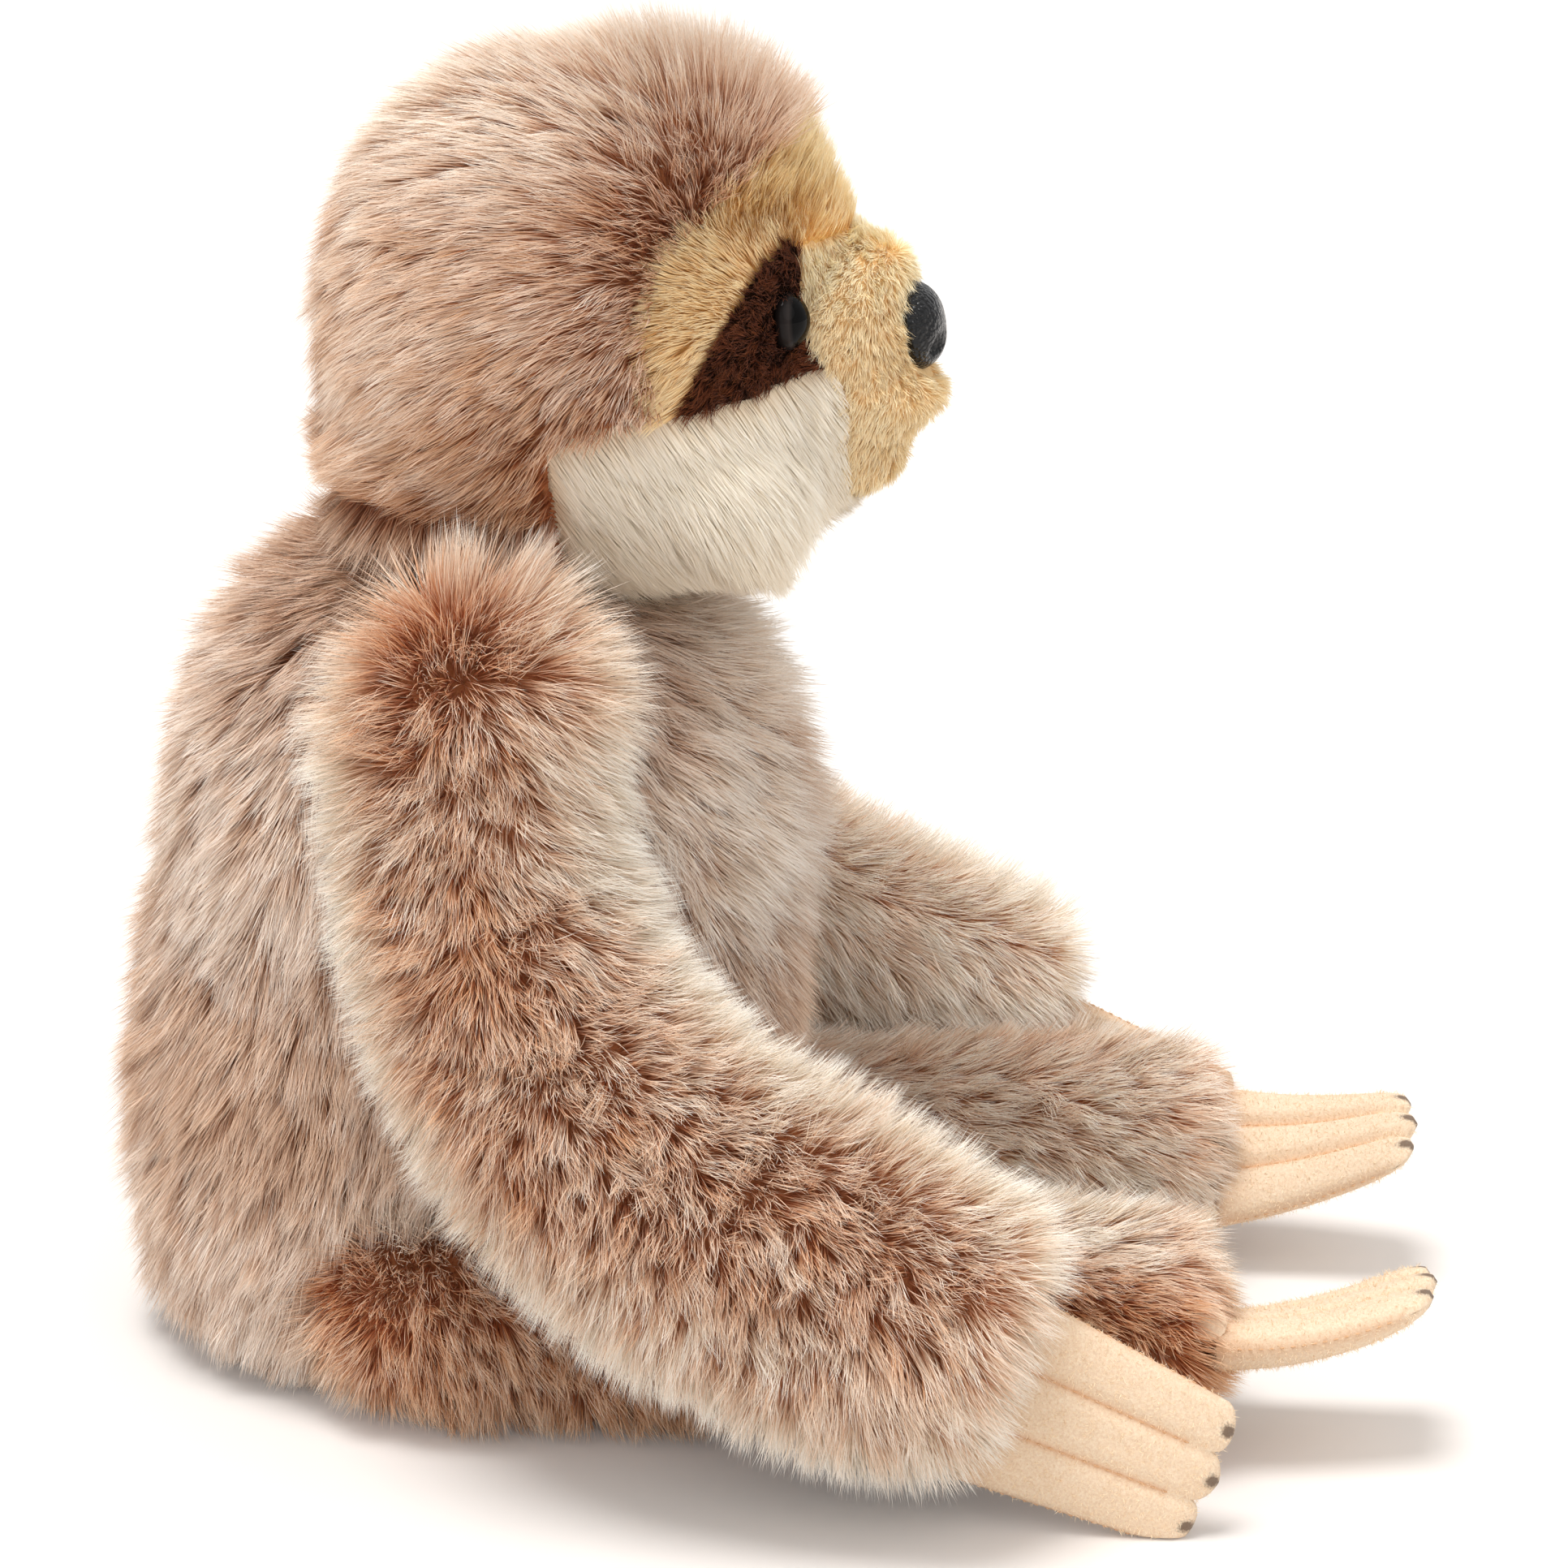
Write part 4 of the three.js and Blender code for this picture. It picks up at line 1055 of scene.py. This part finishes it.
def dome(name, matrix, radius, rings, segments, height_at, material, body, node):
    """A turned or swelling cap: radius(angle) is its outline and height_at(share, angle) its profile."""
    angles = np.arange(segments) * 2 * math.pi / segments
    shares = [math.sin(ring / rings * math.pi / 2) for ring in range(1, rings + 1)]
    points = [[0, 0, height_at(0.0, 0.0)]]
    for share in shares:
        for angle in angles:
            reach = radius(angle) * share
            points.append([reach * math.cos(angle), reach * math.sin(angle), height_at(share, angle)])
    for angle in angles:
        reach = radius(angle) * BUTTON_TAPER
        points.append([reach * math.cos(angle), reach * math.sin(angle), BUTTON_BACK])
    points.append([0, 0, BUTTON_BACK])
    item = mesh_object(name, moved(matrix, points), capped_rings(rings + 1, segments), material)
    rim = np.concatenate([[0.0], np.repeat(shares, segments), np.ones(segments + 1)])
    item.data.attributes.new("ring", "FLOAT", "POINT").data.foreach_set("value", rim.astype(np.float32))
    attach(item, body)
    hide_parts(node)


def eye_material():
    """Black plastic whose rim is a clearer, greyer brown."""
    material, nodes, shader = new_material("eye_plastic")
    shades = stops((0.0, 5, 4, 4), (0.86, 8, 7, 7), (0.94, 46, 40, 38), (1.0, 30, 26, 25))
    feed(shader, Base_Color=ramp(nodes, attribute(nodes, "ring"), shades), Roughness=0.05,
         Specular_IOR_Level=0.09)
    return material


def nose_material():
    """Black leather with a pebbled grain."""
    material, nodes, shader = new_material("nose_leather")
    pebbles = nodes.new("ShaderNodeTexVoronoi")
    pebbles.feature = "SMOOTH_F1"
    feed(pebbles, Vector=nodes.new("ShaderNodeTexCoord").outputs["Object"], Scale=1500)
    grain = pebbles.outputs["Distance"]
    feed(shader, Base_Color=ramp(nodes, grain, stops((0.1, 18, 18, 20), (0.7, 5, 5, 6))), Roughness=0.2,
         Specular_IOR_Level=0.34, Normal=bump(nodes, grain, 0.8, -0.0006))
    return material


EYE_PLASTIC, NOSE_LEATHER = eye_material(), nose_material()
EYE_DOME, EYE_FLATTENING, EYE_TURN = 4.2, 0.12, 24.0
NOSE_WIDE, NOSE_TALL, NOSE_POWER, NOSE_PINCH, NOSE_SWELL = 9.6, 7.9, 2.4, 0.1, 5.6
NOSTRIL = dict(beside=4.9, below=1.6, slant=0.25, wide=2.0, tall=1.5, depth=2.0)
PHILTRUM_WIDTH, PHILTRUM_DEPTH = 0.9, 0.9


def eye_outline(angle):
    return EYE_RADIUS


def eye_profile(share, angle):
    return EYE_DOME * math.sqrt(max(0.0, 1 - share ** 2)) * (1 - EYE_FLATTENING * share ** 2)


def nose_outline(angle):
    """A broad oval that is narrower below."""
    across, up = abs(math.cos(angle) / NOSE_WIDE), abs(math.sin(angle) / NOSE_TALL)
    base = (across ** NOSE_POWER + up ** NOSE_POWER) ** (-1 / NOSE_POWER)
    return base * (1 - NOSE_PINCH * max(0.0, -math.sin(angle)) * abs(math.cos(angle)) ** 0.5)


def nose_profile(share, angle):
    """A swelling with two nostrils and a groove from between them to its lower edge."""
    swell = NOSE_SWELL * max(0.0, 1 - share ** 2.6) ** 0.6
    x, y = share * math.cos(angle) * NOSE_WIDE, share * math.sin(angle) * NOSE_TALL
    low = (y + NOSTRIL["below"] + NOSTRIL["slant"] * abs(x)) / NOSTRIL["tall"]
    nostril = sum(math.exp(-((x - sign * NOSTRIL["beside"]) / NOSTRIL["wide"]) ** 2 - low ** 2)
                  for _, sign in SIDES)
    philtrum = math.exp(-(x / PHILTRUM_WIDTH) ** 2) * max(0.0, -y / NOSE_TALL)
    return swell - NOSTRIL["depth"] * nostril - PHILTRUM_DEPTH * philtrum


for side, sign in SIDES:
    spot, facing = eye_spots[side]
    facing = Matrix.Rotation(-sign * math.radians(EYE_TURN), 3, "Z") @ Vector(facing)
    dome(f"glass_eye_{side}", pointing(spot, facing), eye_outline, 14, 48, eye_profile, EYE_PLASTIC,
         "head", f"eye_{side}")
dome("leather_nose", pointing(nose_spot, nose_facing), nose_outline, 26, 72, nose_profile, NOSE_LEATHER,
     "head", "nose")


# Inner pieces keep their CAD shapes

INNER = {
    "stuffing": grained("fibre_fill", (248, 246, 240), (226, 222, 214), 500, 0.001, 1.0),
    "washer": grained("moulded_washer", (232, 232, 228), (220, 220, 214), 1500, 0.0001, 0.5),
    "seam": grained("seam_tape", (150, 116, 90), (120, 88, 66), 1400, 0.0003, 0.9),
}
for name, node in frame["nodes"].items():
    for word, material in INNER.items():
        if word in name:
            node.data.materials.clear()
            node.data.materials.append(FELT if "claw_seam" in name else material)


# Floor, light and camera

FLOOR_COLOUR, FLOOR_GLOW = (0.83, 0.79, 0.755, 1), 0.06
FLOOR_HALF, FLOOR_LEVEL = 6000, -0.2
WHITE = (1, 1, 1, 1)
SKY_LEVEL = 0.66
# Direction towards each lamp, what it adds to a white sheet that faces it, and its size in degrees
LAMPS = {"top_light": ((-0.12, 0.18, 1.0), 0.66, 24), "front_light": ((-0.6, -0.6, 0.75), 0.17, 60),
         "side_light": ((-0.6, 0.8, 0.45), 0.12, 60)}


def floor_material():
    """A white studio sweep: it takes shadows, and looks white to the camera where nothing shades it."""
    material, nodes, shader = new_material("studio_floor")
    path = nodes.new("ShaderNodeLightPath").outputs
    shown = calculated(nodes, "MAXIMUM", path["Is Camera Ray"], path["Is Glossy Ray"])
    feed(shader, Base_Color=FLOOR_COLOUR, Roughness=0.9, Specular_IOR_Level=0.1, Emission_Color=WHITE,
         Emission_Strength=calculated(nodes, "MULTIPLY", shown, FLOOR_GLOW))
    return material


floor_corners = [(x * FLOOR_HALF, y * FLOOR_HALF, FLOOR_LEVEL)
                 for x, y in ((-1, -1), (1, -1), (1, 1), (-1, 1))]
floor = mesh_object("studio_floor_sheet", floor_corners, [(0, 1, 2, 3)], floor_material())

world = bpy.data.worlds.new("studio")
bpy.context.scene.world = world
world.use_nodes = True
nodes = world.node_tree.nodes
seen = nodes.new("ShaderNodeLightPath").outputs["Is Camera Ray"]
feed(nodes["Background"], Color=WHITE,
     Strength=calculated(nodes, "MULTIPLY_ADD", seen, 1.0 - SKY_LEVEL, SKY_LEVEL))

for name, (source, level, angle) in LAMPS.items():
    lamp = bpy.data.lights.new(name, "SUN")
    lamp.energy = level * math.pi
    lamp.angle = math.radians(angle)
    linked(name, lamp).rotation_euler = Vector(source).to_track_quat("Z", "Y").to_euler()

AZIMUTH, ELEVATION, DISTANCE, HALF_ANGLE = math.radians(-84.5), math.radians(16.5), 0.78, math.radians(10.18)
AIM = Vector((0, -0.0012, 0.104))
SENSOR = 36
lens = bpy.data.cameras.new("camera")
lens.sensor_width = SENSOR
lens.lens = SENSOR / 2 / math.tan(HALF_ANGLE)
lens.clip_end = 50
camera = linked("camera", lens)
camera.location = AIM + DISTANCE * Vector((math.sin(AZIMUTH) * math.cos(ELEVATION),
                                           -math.cos(AZIMUTH) * math.cos(ELEVATION), math.sin(ELEVATION)))
camera.rotation_euler = (AIM - camera.location).to_track_quat("-Z", "Y").to_euler()
bpy.context.scene.camera = camera
bpy.context.scene.view_settings.view_transform = "Standard"
